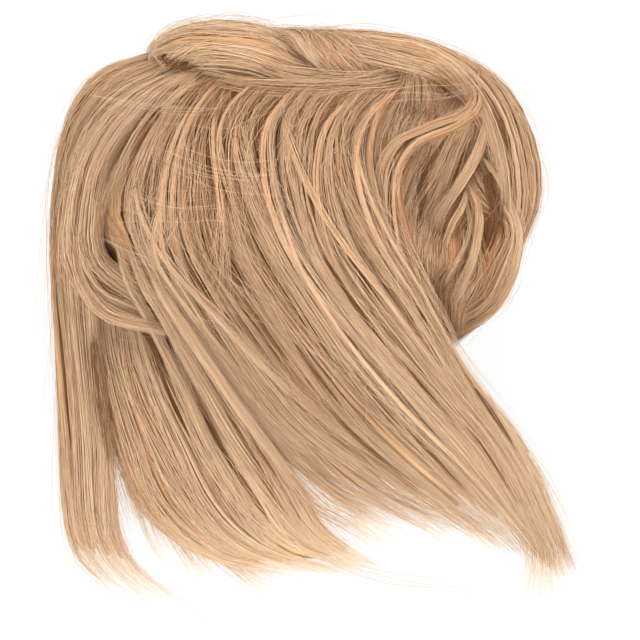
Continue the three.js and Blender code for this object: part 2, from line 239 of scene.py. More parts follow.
BACK_ROLL = {
    "height": dict(start=48, swell=57, high=64, middle=69, dip=71, blend=68, end=63),
    "depth": dict(start=4, swell=6, high=7, middle=7, dip=7, blend=6, end=4),
    "guides": [
        dict(share=0.88, start=(-49, 49), swell=(-45, 50), high=(-35, 48), middle=(-21, 46),
             dip=(-7, 44), blend=(8, 43), end=(24, 43)),
        dict(share=0.97, start=(-51, 50), swell=(-48, 53), high=(-39, 53), middle=(-27, 52),
             dip=(-13, 49), blend=(4, 45), end=(23, 43)),
        dict(share=1, start=(-54, 51), swell=(-51, 54), high=(-42, 57), middle=(-28, 57),
             dip=(-14, 55), blend=(2, 48), end=(23, 44)),
        dict(share=0.8, start=(-56, 53), swell=(-53, 57), high=(-43, 60), middle=(-29, 62),
             dip=(-14, 60), blend=(3, 54), end=(25, 45)),
        dict(share=0.45, start=(-57, 54), swell=(-53, 58), high=(-43, 62), middle=(-28, 63),
             dip=(-12, 62), blend=(6, 62), end=(30, 60)),
    ],
}

CROWN_LOCKS = {
    "height": dict(start=60, rise=68, slope=68, end=62),
    "depth": dict(start=5, rise=7, slope=7, end=4),
    "guides": [
        dict(share=1, start=(-9, 60), rise=(1, 56), slope=(13, 49), end=(27, 44)),
        dict(share=1.02, start=(7, 60), rise=(18, 56), slope=(27, 50), end=(37, 44)),
        dict(share=0.9, start=(25, 58), rise=(34, 55), slope=(42, 51), end=(50, 47)),
    ],
}

INNER_LOOP = {
    "height": dict(start=50, over=50, side=46, low=38, under=26, end=17),
    "depth": dict(start=4, over=6, side=7, low=7, under=6, end=4),
    "guides": [
        dict(share=0.9, start=(82, 11), over=(89, 0), side=(94, -14), low=(93, -33), under=(87, -50),
             end=(71, -64)),
        dict(share=1, start=(77, 6), over=(83, -5), side=(87, -19), low=(86, -34), under=(80, -47),
             end=(65, -58)),
        dict(share=0.8, start=(72, 3), over=(76, -9), side=(76, -22), low=(73, -33), under=(66, -41),
             end=(57, -47)),
    ],
}

OUTER_LOOP = {
    "height": dict(start=58, top=62, over=64, shoulder=62, side=55, low=48, end=38),
    "depth": dict(start=4, top=6, over=7, shoulder=7, side=7, low=6, end=3),
    "guides": [
        dict(share=1.05, start=(4, 58), top=(33, 55), over=(57, 49), shoulder=(73, 36), side=(82, 18),
             low=(87, -5), end=(86, -25)),
        dict(share=0.95, start=(0, 60), top=(32, 58), over=(58, 52), shoulder=(79, 39), side=(90, 20),
             low=(95, -4), end=(91, -26)),
        dict(share=0.65, start=(-2, 62), top=(31, 59), over=(59, 52), shoulder=(84, 40), side=(97, 20),
             low=(101, -3), end=(95, -27)),
    ],
}

LEFT_CURL = {
    "height": dict(root=63, rise=62, crest=56, side=48, drop=42, curl=38, tuck=36, end=31),
    "depth": dict(root=4, rise=6, crest=7, side=7, drop=7, curl=7, tuck=6, end=4),
    "guides": [
        dict(share=0.88, root=(-43, 47), rise=(-64, 37), crest=(-80, 18), side=(-90, -3),
             drop=(-93, -26), curl=(-87, -44), tuck=(-72, -56), end=(-48, -59)),
        dict(share=1, root=(-40, 45), rise=(-61, 32), crest=(-77, 13), side=(-84, -7), drop=(-86, -26),
             curl=(-78, -41), tuck=(-62, -50), end=(-41, -55)),
        dict(share=1.06, root=(-38, 44), rise=(-57, 29), crest=(-71, 12), side=(-77, -8),
             drop=(-78, -24), curl=(-71, -34), tuck=(-56, -42), end=(-36, -50)),
    ],
}

FAN_LOCKS = {
    "on_puff": True,
    "height": dict(start=62, upper=62, lower=58, end=50),
    "depth": dict(start=3, upper=5, lower=6, end=4),
    "guides": [
        dict(share=1.05, start=(47, 48), upper=(45, 40), lower=(41, 32), end=(36, 24)),
        dict(share=0.95, start=(52, 49), upper=(54, 41), lower=(55, 32), end=(53, 22)),
        dict(share=0.85, start=(56, 49), upper=(65, 43), lower=(71, 35), end=(71, 24)),
    ],
}

S_CURL = {
    "height": dict(start=64, bend=71, cross=76, hook=79, back=77, fall=71, hem=58, drop=35, tip=8),
    "depth": dict(start=3, bend=3, cross=3, hook=4, back=4, fall=5, hem=5, drop=4, tip=1.5),
    "guides": [
        dict(share=0.98, start=(75, 45), bend=(76, 32), cross=(64, 24), hook=(49, 20), back=(40, 8),
             fall=(41, -9), hem=(50, -36), drop=(66, -71), tip=(103, -136)),
        dict(share=1.02, start=(79, 43), bend=(79, 31), cross=(68, 22), hook=(53, 15), back=(46, 2),
             fall=(48, -18), hem=(56, -43), drop=(71, -79), tip=(109, -142)),
    ],
}

FRONT_FALL = {
    "height": dict(root=62, sweep=73, rise=81, crest=86, flank=78, turn=62, hem=42, fall=22, tip=5),
    "depth": dict(root=4, sweep=6, rise=9, crest=11, flank=11, turn=9, hem=7, fall=5, tip=1.5),
    "guides": [
        dict(share=0.84, root=(-35, 47), sweep=(-42, 40), rise=(-52, 28), crest=(-64, 10),
             flank=(-69, -8), turn=(-61, -30), hem=(-46, -58), fall=(-23, -95), tip=(24, -136)),
        dict(share=0.95, root=(-11, 44), sweep=(-24, 38), rise=(-34, 22), crest=(-37, 1),
             flank=(-33, -23), turn=(-19, -49), hem=(0, -79), fall=(24, -107), tip=(69, -143)),
        dict(share=1, root=(23, 43), sweep=(4, 38), rise=(-9, 24), crest=(-11, 4), flank=(-2, -22),
             turn=(17, -51), hem=(42, -83), fall=(69, -114), tip=(104, -155)),
        dict(share=0.96, root=(44, 44), sweep=(29, 38), rise=(17, 26), crest=(13, 6), flank=(22, -21),
             turn=(41, -49), hem=(62, -78), fall=(88, -110), tip=(113, -158)),
        dict(share=0.8, root=(53, 46), sweep=(48, 39), rise=(41, 28), crest=(35, 10), flank=(40, -16),
             turn=(53, -43), hem=(70, -74), fall=(98, -109), tip=(119, -155)),
    ],
}

POCKET_BACK = {
    "on_puff": True,
    "height": dict(start=56, upper=49, middle=45, lower=43, under=38, end=30),
    "depth": dict(start=2, upper=3, middle=3, lower=3, under=3, end=2),
    "guides": [
        dict(share=1.04, start=(64, 37), upper=(53, 21), middle=(44, 7), lower=(39, -8),
             under=(40, -24), end=(45, -43)),
        dict(share=1, start=(75, 34), upper=(66, 17), middle=(58, 1), lower=(52, -14), under=(51, -31),
             end=(57, -50)),
        dict(share=0.97, start=(83, 31), upper=(79, 11), middle=(74, -6), lower=(66, -22),
             under=(61, -38), end=(64, -55)),
        dict(share=0.93, start=(90, 27), upper=(91, 6), middle=(90, -14), lower=(83, -32),
             under=(73, -47), end=(72, -60)),
    ],
}

# Wisps laid over the sections, listed one by one: width and route in millimetres
LOOSE_WISPS = [
    dict(name="parting", width=9.0, strands=34, tone=0.06, finish="blond",
         route=[(-31, 43, 76), (-13, 40, 80), (8, 39, 82), (26, 41, 79), (45, 45, 71)]),
    dict(name="parting_right", width=8.0, strands=34, tone=0.04, finish="blond",
         route=[(-11, 48, 78), (4, 44, 80), (21, 42, 79), (37, 43, 75), (50, 46, 68)]),
    dict(name="ridge", width=8.0, strands=70, tone=0.05, finish="blond",
         route=[(4, 59, 69), (24, 55, 73), (42, 51, 75), (54, 48, 75), (65, 44, 73)]),
    dict(name="s_crossing", width=12.0, strands=4, tone=0.3, finish="fine",
         route=[(78, 41, 76), (64, 37, 84), (48, 37, 90), (29, 34, 95)]),
    dict(name="s_second", width=3.0, strands=56, tone=-0.12, finish="blond",
         route=[(67, 46, 70), (74, 40, 74), (75, 34, 78), (70, 28, 81), (61, 25, 83), (52, 21, 84),
                (45, 18, 84), (40, 13, 83), (37, 6, 81), (37, -2, 79), (42, -14, 74), (50, -29, 68)]),
    dict(name="tip_bend_left", width=12.0, strands=70, tone=0.1, finish="tail",
         route=[(84, -126, 16), (98, -140, 10), (106, -152, 6), (107, -164, 4), (105, -178, 2)]),
    dict(name="tip_bend_right", width=12.0, strands=50, tone=0.1, finish="tail",
         route=[(94, -126, 16), (107, -144, 10), (112, -154, 6), (114, -164, 4), (117, -174, 2)]),
    dict(name="tip_edge", width=18.0, strands=24, tone=0.1, finish="tail",
         route=[(89, -102, 26), (104, -124, 15), (113, -141, 8), (120, -157, 4)]),
    dict(name="low_edge", width=13.0, strands=60, tone=0.08, finish="tail",
         route=[(-4, -116, 16), (13, -133, 11), (30, -143, 7), (46, -153, 3)]),
    dict(name="low_line", width=16.0, strands=4, tone=0.1, finish="tail",
         route=[(4, -155, 6), (38, -168, 3), (73, -172, 2), (110, -178, 2)]),
    dict(name="curl_rim", width=5.0, strands=70, tone=0.06, finish="blond",
         route=[(-91, -19, 47), (-89, -35, 47), (-84, -46, 47), (-76, -54, 47), (-65, -57, 46),
                (-54, -59, 44), (-44, -62, 41)]),
    dict(name="over_curl_left", width=5.0, strands=70, tone=0.09, finish="blond",
         route=[(-72, -21, 57), (-67, -40, 51), (-60, -53, 45), (-54, -66, 37), (-45, -84, 28),
                (-35, -107, 22), (-20, -131, 14), (0, -150, 7)]),
    dict(name="over_curl_middle", width=5.4, strands=70, tone=0.08, finish="blond",
         route=[(-66, -25, 62), (-60, -41, 58), (-52, -54, 51), (-45, -68, 42), (-35, -86, 32),
                (-24, -106, 24), (-8, -129, 15), (11, -150, 7)]),
    dict(name="over_curl_right", width=5.4, strands=60, tone=0.1, finish="blond",
         route=[(-59, -32, 64), (-52, -46, 60), (-43, -60, 54), (-34, -74, 46), (-23, -91, 36),
                (-9, -111, 26), (7, -132, 16), (26, -152, 6)]),
    dict(name="low_fringe_first", width=11.0, strands=64, tone=0.08, finish="tail",
         route=[(-76, -90, 14), (-74, -107, 12), (-72, -122, 9), (-68, -136, 5), (-64, -147, 3)]),
    dict(name="low_fringe_second", width=12.0, strands=70, tone=0.08, finish="tail",
         route=[(-70, -103, 14), (-66, -120, 11), (-61, -135, 7), (-56, -149, 4), (-49, -157, 2)]),
    dict(name="low_fringe_third", width=12.0, strands=70, tone=0.08, finish="tail",
         route=[(-62, -111, 13), (-56, -128, 10), (-49, -144, 6), (-40, -158, 3), (-32, -166, 2)]),
    dict(name="low_fringe_last", width=12.0, strands=64, tone=0.08, finish="tail",
         route=[(-51, -120, 12), (-42, -138, 8), (-31, -154, 4), (-18, -165, 2), (-6, -172, 2)]),
    dict(name="fall_fringe_left", width=9.0, strands=64, tone=0.05, finish="tail",
         route=[(-12, -98, 22), (4, -114, 16), (19, -127, 11), (35, -135, 7), (46, -141, 5)]),
    dict(name="fall_fringe_middle", width=10.0, strands=70, tone=0.05, finish="tail",
         route=[(4, -102, 24), (23, -120, 17), (43, -133, 11), (60, -141, 7), (72, -147, 4)]),
    dict(name="fall_fringe_right", width=10.0, strands=50, tone=0.05, finish="tail",
         route=[(25, -106, 24), (47, -124, 17), (66, -137, 11), (82, -147, 7), (96, -154, 4)]),
    dict(name="fall_fringe_slanted", width=6.0, strands=40, tone=0.0, finish="tail",
         route=[(8, -99, 29), (19, -106, 25), (34, -116, 19), (51, -127, 13), (64, -134, 9)]),
    dict(name="fall_fringe_upper", width=6.0, strands=40, tone=0.0, finish="tail",
         route=[(34, -109, 23), (45, -116, 19), (60, -124, 15), (71, -130, 12), (87, -139, 7)]),
    # Painted shade: these wisps of the shade finish are dark strands laid where the curl and the locks over
    # the tails shade them
    dict(name="tail_shadow", width=8.0, strands=26, tone=0.0, finish="shade",
         route=[(-83, -61, 30), (-82, -77, 26), (-80, -93, 23), (-78, -108, 20), (-76, -121, 16)]),
    dict(name="tail_crevice", width=2.8, strands=44, tone=0.0, finish="shade",
         route=[(-64, -58, 28), (-59, -65, 26), (-55, -75, 24), (-50, -87, 22), (-44, -100, 20),
                (-37, -113, 17), (-28, -127, 13)]),
    dict(name="tail_crevice_middle", width=1.3, strands=18, tone=0.0, finish="shade",
         route=[(-42, -82, 30), (-39, -89, 28), (-35, -97, 25), (-31, -105, 22), (-27, -114, 19)]),
    dict(name="tail_crevice_right", width=1.2, strands=18, tone=0.0, finish="shade",
         route=[(-26, -89, 33), (-22, -95, 31), (-18, -102, 28), (-13, -111, 25), (-6, -122, 19)]),
    dict(name="curl_bridge", width=4.4, strands=60, tone=0.02, finish="blond",
         route=[(-37, 43, 76), (-46, 37, 76), (-54, 29, 74), (-62, 20, 72), (-68, 10, 70), (-73, 0, 67),
                (-77, -11, 61)]),
    # Painted shade: dark strands laid in the shaded pocket at the left end of the roll
    dict(name="roll_pocket_shade", width=4.6, strands=50, tone=0.0, finish="shade",
         route=[(-53, 54, 62), (-49, 51, 66), (-43, 49, 69), (-37, 47, 72)]),
    dict(name="roll_curl", width=3.0, strands=40, tone=0.1, finish="blond",
         route=[(-58, 50, 55), (-57, 54, 59), (-51, 56, 64), (-42, 55, 69), (-37, 52, 71),
                (-34, 49, 71)]),
    dict(name="roll_inner_curl", width=2.4, strands=30, tone=0.08, finish="blond",
         route=[(-42, 46, 67), (-40, 50, 70), (-35, 52, 71), (-31, 50, 72), (-31, 47, 71)]),
    dict(name="upper_arc", width=14.0, strands=6, tone=0.3, finish="fine",
         route=[(-85, 38, 58), (-70, 34, 70), (-53, 30, 80), (-34, 29, 88), (-16, 31, 92)]),
    dict(name="crest_arc", width=16.0, strands=7, tone=0.3, finish="fine",
         route=[(-56, 13, 87), (-36, 4, 96), (-16, 0, 99), (5, 2, 97)]),
    dict(name="flank_arc", width=16.0, strands=6, tone=0.3, finish="fine",
         route=[(-70, -2, 78), (-52, -8, 89), (-34, -9, 93), (-16, -7, 97)]),
    dict(name="curl_crossing", width=11.0, strands=12, tone=0.3, finish="fine",
         route=[(-77, -21, 64), (-66, -27, 66), (-53, -32, 70), (-36, -32, 80)]),
    dict(name="curl_crossing_low", width=12.0, strands=14, tone=0.25, finish="fine",
         route=[(-73, -30, 60), (-61, -39, 60), (-46, -45, 62), (-28, -46, 66)]),
]

# The locks that cross the pocket at the right of the bun
POCKET_WISPS = [
    # Painted shade: the first two wisps are dark strands laid where the pocket lies in shadow
    dict(name="pocket_shade", width=6.0, strands=80, tone=0.0, finish="shade",
         route=[(82, 6, 56), (84, -2, 56), (86, -11, 56), (85, -19, 54), (82, -27, 50)]),
    dict(name="pocket_deep_shade", width=6.0, strands=30, tone=0.0, finish="shade",
         route=[(59, 21, 53), (57, 12, 50), (55, 3, 48), (55, -6, 48)]),
    dict(name="pocket_long", width=4.2, strands=110, tone=0.04, finish="blond",
         route=[(83, 37, 66), (82, 28, 62), (80, 20, 60), (77, 12, 58), (72, 3, 56), (67, -4, 54),
                (63, -10, 52), (60, -18, 50)]),
    dict(name="pocket_bowed", width=3.4, strands=90, tone=0.0, finish="blond",
         route=[(74, 3, 52), (78, -6, 53), (79, -14, 53), (78, -22, 52), (76, -31, 49), (72, -40, 46),
                (69, -48, 42)]),
    dict(name="pocket_middle", width=3.0, strands=70, tone=-0.02, finish="blond",
         route=[(74, 0, 51), (72, -8, 51), (68, -15, 50), (65, -23, 48), (62, -31, 46)]),
    dict(name="pocket_short", width=2.4, strands=50, tone=-0.03, finish="blond",
         route=[(76, -8, 49), (75, -18, 48), (72, -27, 46), (67, -35, 44), (64, -41, 42)]),
    dict(name="loop_edge", width=3.0, strands=80, tone=0.06, finish="blond",
         route=[(80, 12, 57), (86, 4, 55), (90, -3, 53), (93, -10, 51), (96, -20, 49), (95, -29, 45),
                (93, -38, 40), (88, -48, 33), (81, -55, 26), (70, -64, 18)]),
]

# Settings for combing a section, as shares of the section or of a lock unless millimetres are named:
# locks, wisps in a lock, strands in all, and steps along a strand;
# uneven, fill, wander, blend, pinch, lift (millimetres): how the locks and wisps lie;
# stray, under, rim, edge: shares of stray, underside and rim strands, and the width of the round edge;
# root_spread, overrun, ragged, fan (millimetres), round, tone: roots, tips, roundness and shade;
# slits, gaps: openings, and partings laid with dark strands as painted shade, as (across, along, half width,
# half length);
# base_locks, body_start, body_end, body_depth, inset: the under-hair;
# flyaways, reach (millimetres), crossings, stray_locks: loose hairs;
# finish: the name of the fibre's finish.
PLAIN = dict(
    wisps=6, steps=14, uneven=0.35, fill=1.05, wander=0.4, blend=0.22, pinch=0.25, lift=0.5,
    stray=0.08, under=0.06, rim=0.14, edge=0.12,
    root_spread=0.05, overrun=0.02, ragged=0.0, fan=0.0, round=0.2, tone=0.0, slits=[], gaps=[],
    base_locks=4, body_start=-0.03, body_end=1.0, body_depth=0.78, inset=0.07,
    flyaways=20, reach=5.0, crossings=20, stray_locks=0, finish="blond",
)
LOOSE_END = dict(
    finish="tail", fill=1.15, pinch=0.2, overrun=0.03, ragged=0.1, fan=1.4, body_end=0.89, under=0.1,
    flyaways=80, reach=8.0,
)
# Partings of the front fall: the strands open there, and dark strands are laid in them as painted shade
FALL_GAPS = [
    (0.01, 0.26, 0.011, 0.09), (0.16, 0.22, 0.008, 0.04), (0.10, 0.43, 0.010, 0.07),
    (0.32, 0.30, 0.011, 0.07), (0.37, 0.36, 0.010, 0.06), (0.52, 0.36, 0.008, 0.05),
    (0.59, 0.42, 0.008, 0.05), (0.11, 0.54, 0.008, 0.06), (0.20, 0.56, 0.008, 0.06),
    (0.31, 0.53, 0.008, 0.05), (0.22, 0.68, 0.006, 0.05), (0.53, 0.52, 0.009, 0.06),
    (0.71, 0.55, 0.011, 0.06), (0.62, 0.59, 0.008, 0.06), (0.84, 0.61, 0.012, 0.05),
    (0.35, 0.72, 0.006, 0.05), (0.45, 0.76, 0.006, 0.05), (0.31, 0.85, 0.005, 0.07),
    (0.46, 0.87, 0.007, 0.05), (0.67, 0.88, 0.012, 0.05), (0.63, 0.76, 0.009, 0.05),
    (0.73, 0.26, 0.008, 0.05), (0.87, 0.39, 0.010, 0.05), (0.67, 0.27, 0.008, 0.06),
    (0.66, 0.40, 0.008, 0.05), (0.30, 0.64, 0.005, 0.05), (0.87, 0.82, 0.020, 0.05),
    (0.43, 0.22, 0.008, 0.05),
]
# The back of the pocket is painted darker as shade in the hollow (tone -0.3)
POCKET_BACK_COMBING = dict(
    locks=7, strands=500, steps=11, tone=-0.3, blend=0.35, lift=0.4, body_end=1.05, root_spread=0.1,
    flyaways=16, crossings=90,
    gaps=[(0.25, 0.32, 0.04, 0.12), (0.05, 0.15, 0.04, 0.06), (0.5, 0.3, 0.02, 0.1), (0.35, 0.55, 0.02, 0.1)],
)
SECTIONS = (
    ("low_tail", LOW_TAIL, dict(
        LOOSE_END, locks=12, strands=770, base_locks=5, ragged=0.18, crossings=40, wander=0.3, tone=0.1,
        inset=0.03, gaps=[(0.48, 0.3, 0.026, 0.13), (0.66, 0.37, 0.012, 0.08), (0.83, 0.48, 0.012, 0.1)],
    )),
    ("left_tail", LEFT_TAIL, dict(
        LOOSE_END, locks=10, strands=640, steps=15, crossings=20, wander=0.15, fan=0.7, blend=0.32,
        finish="long_tail", inset=0.04, ragged=0.2, body_end=0.88,
        gaps=[(0.22, 0.22, 0.04, 0.04)], slits=[(0.25, 0.67, 0.035, 0.06)],
    )),
    ("back_roll", BACK_ROLL, dict(
        locks=12, strands=660, base_locks=6, flyaways=170, reach=10.0, crossings=60, pinch=0.12,
        wander=0.25, root_spread=0.1, tone=0.09, finish="soft", lift=0.2,
        gaps=[(0.17, 0.24, 0.05, 0.11), (0.68, 0.8, 0.012, 0.12)],
    )),
    ("crown_locks", CROWN_LOCKS, dict(
        locks=8, strands=420, steps=11, uneven=0.2, fill=1.2, blend=0.35, lift=0.2, pinch=0.05,
        wander=0.25, tone=0.02, root_spread=0.12, overrun=0.1, finish="soft",
    )),
    ("inner_loop", INNER_LOOP, dict(
        locks=7, strands=350, steps=20, tone=-0.18, pinch=0.15, wander=0.3, overrun=0.15, body_end=1.1,
        slits=[(0.57, 0.36, 0.11, 0.14)], gaps=[(0.57, 0.36, 0.07, 0.1)],
    )),
    ("outer_loop", OUTER_LOOP, dict(
        locks=9, strands=690, steps=16, rim=0.22, flyaways=90, reach=8.0, pinch=0.12, wander=0.3,
        tone=-0.11, slits=[(0.75, 0.72, 0.04, 0.09)], gaps=[(0.3, 0.62, 0.03, 0.08)],
    )),
    ("left_curl", LEFT_CURL, dict(
        locks=9, strands=570, steps=16, overrun=0.04, tone=-0.04, flyaways=80, crossings=50, pinch=0.15,
        wander=0.3, reach=7.0, gaps=[(0.85, 0.33, 0.07, 0.08), (0.6, 0.72, 0.05, 0.06)],
    )),
    ("fan_locks", FAN_LOCKS, dict(
        locks=8, strands=320, steps=11, uneven=0.2, fill=1.2, blend=0.35, lift=0.3, pinch=0.1,
        root_spread=0.2, overrun=0.3, tone=-0.05,
    )),
    ("s_curl", S_CURL, dict(
        locks=2, strands=190, steps=20, uneven=0.0, fill=0.26, rim=0.0, pinch=0.1, round=0.9, wisps=4,
        wander=0.15, ragged=0.12, fan=1.5, tone=-0.14, base_locks=0, body_end=0.75, body_depth=0.5,
    )),
    ("front_fall", FRONT_FALL, dict(
        LOOSE_END, locks=20, wisps=7, strands=1750, steps=20, base_locks=10, finish="fall", uneven=0.45,
        fill=1.08, blend=0.3, wander=0.45, stray=0.1, root_spread=0.1, round=0.3, pinch=0.32, ragged=0.05,
        fan=0.8, body_end=0.96, tone=-0.04, inset=0.02, crossings=190, gaps=FALL_GAPS, stray_locks=14,
    )),
)


# Random columns and smooth lines
def draw(count, low=0.0, high=1.0):
    """A column of even random numbers, one for each of count lines."""
    return rng.uniform(low, high, (count, 1))


def scatter(count, spread):
    """A column of random numbers about zero, one for each of count lines."""
    return rng.normal(0, spread, (count, 1))


def drift(count, along, size, turns):
    """Slow wandering of each of count lines along its length."""
    phase = rng.uniform(0, FULL_TURN, (count, 2))
    speed = rng.uniform(*DRIFT_SPEED, (count, 2)) * turns * FULL_TURN
    slow = np.sin(speed[:, :1] * along + phase[:, :1])
    quick = np.sin(2 * speed[:, 1:] * along + phase[:, 1:])
    return size * (slow + QUICK_SHARE * quick)


def even_places(steps):
    """A row of even places from 0 to 1."""
    return np.linspace(0, 1, steps)[None, :]


def ramp(values, start, end):
    """Rises from 0 at the start to 1 at the end, and is level outside them."""
    return np.clip((values - start) / (end - start), 0, 1)


def unit(vectors):
    """Vectors of length one."""
    return vectors / np.maximum(np.linalg.norm(vectors, axis=-1, keepdims=True), TINY)


def smooth_rows(points, places):
    """Values of a smooth row of points at fractional places along its first axis."""
    first = 2 * points[:1] - points[1:2]
    last = 2 * points[-1:] - points[-2:-1]
    row = np.concatenate([first, points, last])
    at = np.clip(np.floor(places).astype(int), 0, len(points) - 2)
    part = (places - at).reshape((-1,) + (1,) * (points.ndim - 1))
    before, here, after, beyond = (row[at + step] for step in range(4))
    bend = 2 * before - 5 * here + 4 * after - beyond
    twist = 3 * (here - after) + beyond - before
    return here + 0.5 * part * (after - before + part * (bend + part * twist))


# Sheets of hair
class HairSheet:
    """A section as a smooth sheet: across runs over its guides, along runs from root to tip."""

    MARGIN = 0.3
    ACROSS = 100
    ALONG = 180
    CELL_END = 1.001
    CORE = np.array([0.0, 0.0, 18.0])
    BEND_WEIGHT = 1.3
    LEAST_DEPTH = 0.8

    def __init__(self, section):
        stations = list(section["height"])
        self.across = np.linspace(-self.MARGIN, 1 + self.MARGIN, self.ACROSS)
        self.along = np.linspace(-self.MARGIN, 1 + self.MARGIN, self.ALONG)
        places = self.along * (len(stations) - 1)
        depth = np.array([section["depth"][name] for name in stations], float)
        self.depths = np.maximum(smooth_rows(depth, places), self.LEAST_DEPTH)
        self.points = self.surface(section, stations, places)
        self.sides = unit(np.gradient(self.points, axis=0))
        forward = unit(np.gradient(self.points, axis=1))
        self.normals = self.outward(forward)
        self.cost = self.bend_cost(forward)

    def surface(self, section, stations, places):
        """Points of the sheet through the guides, kept above the puff where the section lies on it."""
        rows = [
            [(*guide[name], section["height"][name] * guide["share"]) for name in stations]
            for guide in section["guides"]
        ]
        grid = smooth_rows(np.array(rows, float), self.across * (len(rows) - 1))
        grid = smooth_rows(grid.swapaxes(0, 1), places).swapaxes(0, 1)
        if section.get("on_puff"):
            grid[..., 2] = np.maximum(grid[..., 2], puff_top(grid) + PUFF_CLEARANCE)
        return grid

    def outward(self, forward):
        """Normals of the sheet that point away from the core of the piece."""
        normal = unit(np.cross(forward, self.sides))
        if np.sum(normal * unit(self.points - self.CORE)) < 0:
            return -normal
        return normal

    def bend_cost(self, forward):
        """Running sum of length and bend along the sheet, by which strands place their points."""
        run = np.linalg.norm(np.diff(self.points, axis=1), axis=-1).mean(0)
        turn = np.linalg.norm(np.diff(forward, axis=1), axis=-1).mean(0)
        inside = (self.along[:-1] >= 0) & (self.along[:-1] <= 1)
        cost = (run / run[inside].sum() + self.BEND_WEIGHT * turn / turn[inside].sum()) * inside
        return np.concatenate([[0.0], np.cumsum(cost)])

    def stations(self, steps):
        """A row of places from 0 to 1, closer together where the hair bends."""
        places = np.interp(np.linspace(0, self.cost[-1], steps), self.cost, self.along)
        places[0] = 0.0
        places[-1] = 1.0
        return places[None, :]

    def cell(self, places, cells):
        """The cell of the sheet that each place lies in, and how far into it."""
        share = np.clip((places + self.MARGIN) / (1 + 2 * self.MARGIN), 0, 1)
        at = share * (cells - self.CELL_END)
        first = at.astype(int)
        return first, (at - first)[..., None]

    def read(self, table, across, along):
        """Values of a table over the sheet, between its rows and columns."""
        row, over = self.cell(across, self.ACROSS)
        column, on = self.cell(along, self.ALONG)
        near = table[row, column] * (1 - on) + table[row, column + 1] * on
        far = table[row + 1, column] * (1 - on) + table[row + 1, column + 1] * on
        return near * (1 - over) + far * over

    def depth(self, along):
        """How far the hair stands off the sheet at places along it."""
        return np.interp(along, self.along, self.depths)

    def at(self, across, along, height, aside=0.0):
        """Points at a height off the sheet and a step aside on it, in millimetres."""
        base = self.read(self.points, across, along)
        up = unit(self.read(self.normals, across, along))
        over = unit(self.read(self.sides, across, along))
        return base + up * height[..., None] + over * np.asarray(aside)[..., None]


# Locks and the wisps in them
class LockPlan:
    """Uneven locks over a section: where each lies, how wide it is and how high it rides."""

    PINCH_AT = (0.18, 0.58)
    PINCH_LENGTH = (0.06, 0.16)
    TONE_SPREAD = 0.07
    SLOW_SWAY = 5
    QUICK_SWAY = 11
    ROOT_END = 0.25
    TIP_CALM = ([0.6, 1.0], [1.0, 0.3])
    TIP_START = 2 / 3
    TIP_WIDENING = 0.5

    def __init__(self, hair):
        count = hair["locks"]
        width = np.exp(scatter(count, hair["uneven"]))
        edge = np.concatenate([[[0.0]], np.cumsum(width / width.sum(), axis=0)])
        self.middle = (edge[1:] + edge[:-1]) / 2
        self.half = (edge[1:] - edge[:-1]) / 2 * hair["fill"]
        self.phase = rng.uniform(0, FULL_TURN, (count, 2))
        self.pinch = draw(count, 0, hair["pinch"])
        self.pinch_at = draw(count, *self.PINCH_AT)
        self.pinch_length = draw(count, *self.PINCH_LENGTH)
        self.lift = scatter(count, hair["lift"])
        self.tilt = scatter(count, hair["lift"])
        self.tone = scatter(count, self.TONE_SPREAD)
        self.wander = hair["wander"]
        self.slits = hair["slits"]

    def place(self, lock, along):
        """Middle and half width of each row's lock at places along it."""
        phase = self.phase[lock]
        half = self.half[lock]
        sway = np.sin(self.SLOW_SWAY * along + phase[:, :1])
        sway = sway + QUICK_SHARE * np.sin(self.QUICK_SWAY * along + phase[:, 1:])
        free = ramp(along, 0, self.ROOT_END) * np.interp(along, *self.TIP_CALM)
        away = (along - self.pinch_at[lock]) / self.pinch_length[lock]
        squeeze = 1 - self.pinch[lock] * np.exp(-away ** 2)
        squeeze = squeeze + self.TIP_WIDENING * ramp(along, self.TIP_START, 1)
        return self.middle[lock] + self.wander * half * sway * free, half * squeeze

    def ride(self, lock, side, depth):
        """How far each lock rides up, tilted across it and less where the hair is thin."""
        return (self.lift[lock] + self.tilt[lock] * side) * np.clip(depth / FULL_RIDE_DEPTH, LEAST_RIDE, 1)


class WispPlan:
    """Wisps in each lock: their place across it, tone, level, shortness and fanning at the tip."""

    SIDE_SPREAD = 0.25
    TONE_SPREAD = 0.09
    LEVEL_SPREAD = 0.05

    def __init__(self, hair):
        size = (hair["locks"], hair["wisps"])
        self.side = np.linspace(-1, 1, hair["wisps"]) + rng.normal(0, self.SIDE_SPREAD, size)
        self.tone = rng.normal(0, self.TONE_SPREAD, size)
        self.level = rng.normal(0, self.LEVEL_SPREAD, size)
        self.short = rng.uniform(0, hair["ragged"], size)
        self.fan = rng.normal(0, hair["fan"], size)


def opened(across, along, slits):
    """Places across a section, pushed apart where the hair parts into a slit."""
    for middle, station, half, length in slits:
        away = across - middle
        near = np.exp(-((along - station) / length) ** 2)
        lean = np.sum(away * near, axis=1, keepdims=True)
        push = half * near * np.clip(1 - np.abs(away) / (SLIT_REACH * half), 0, 1)
        across = across + np.where(lean < 0, -push, push)
    return across


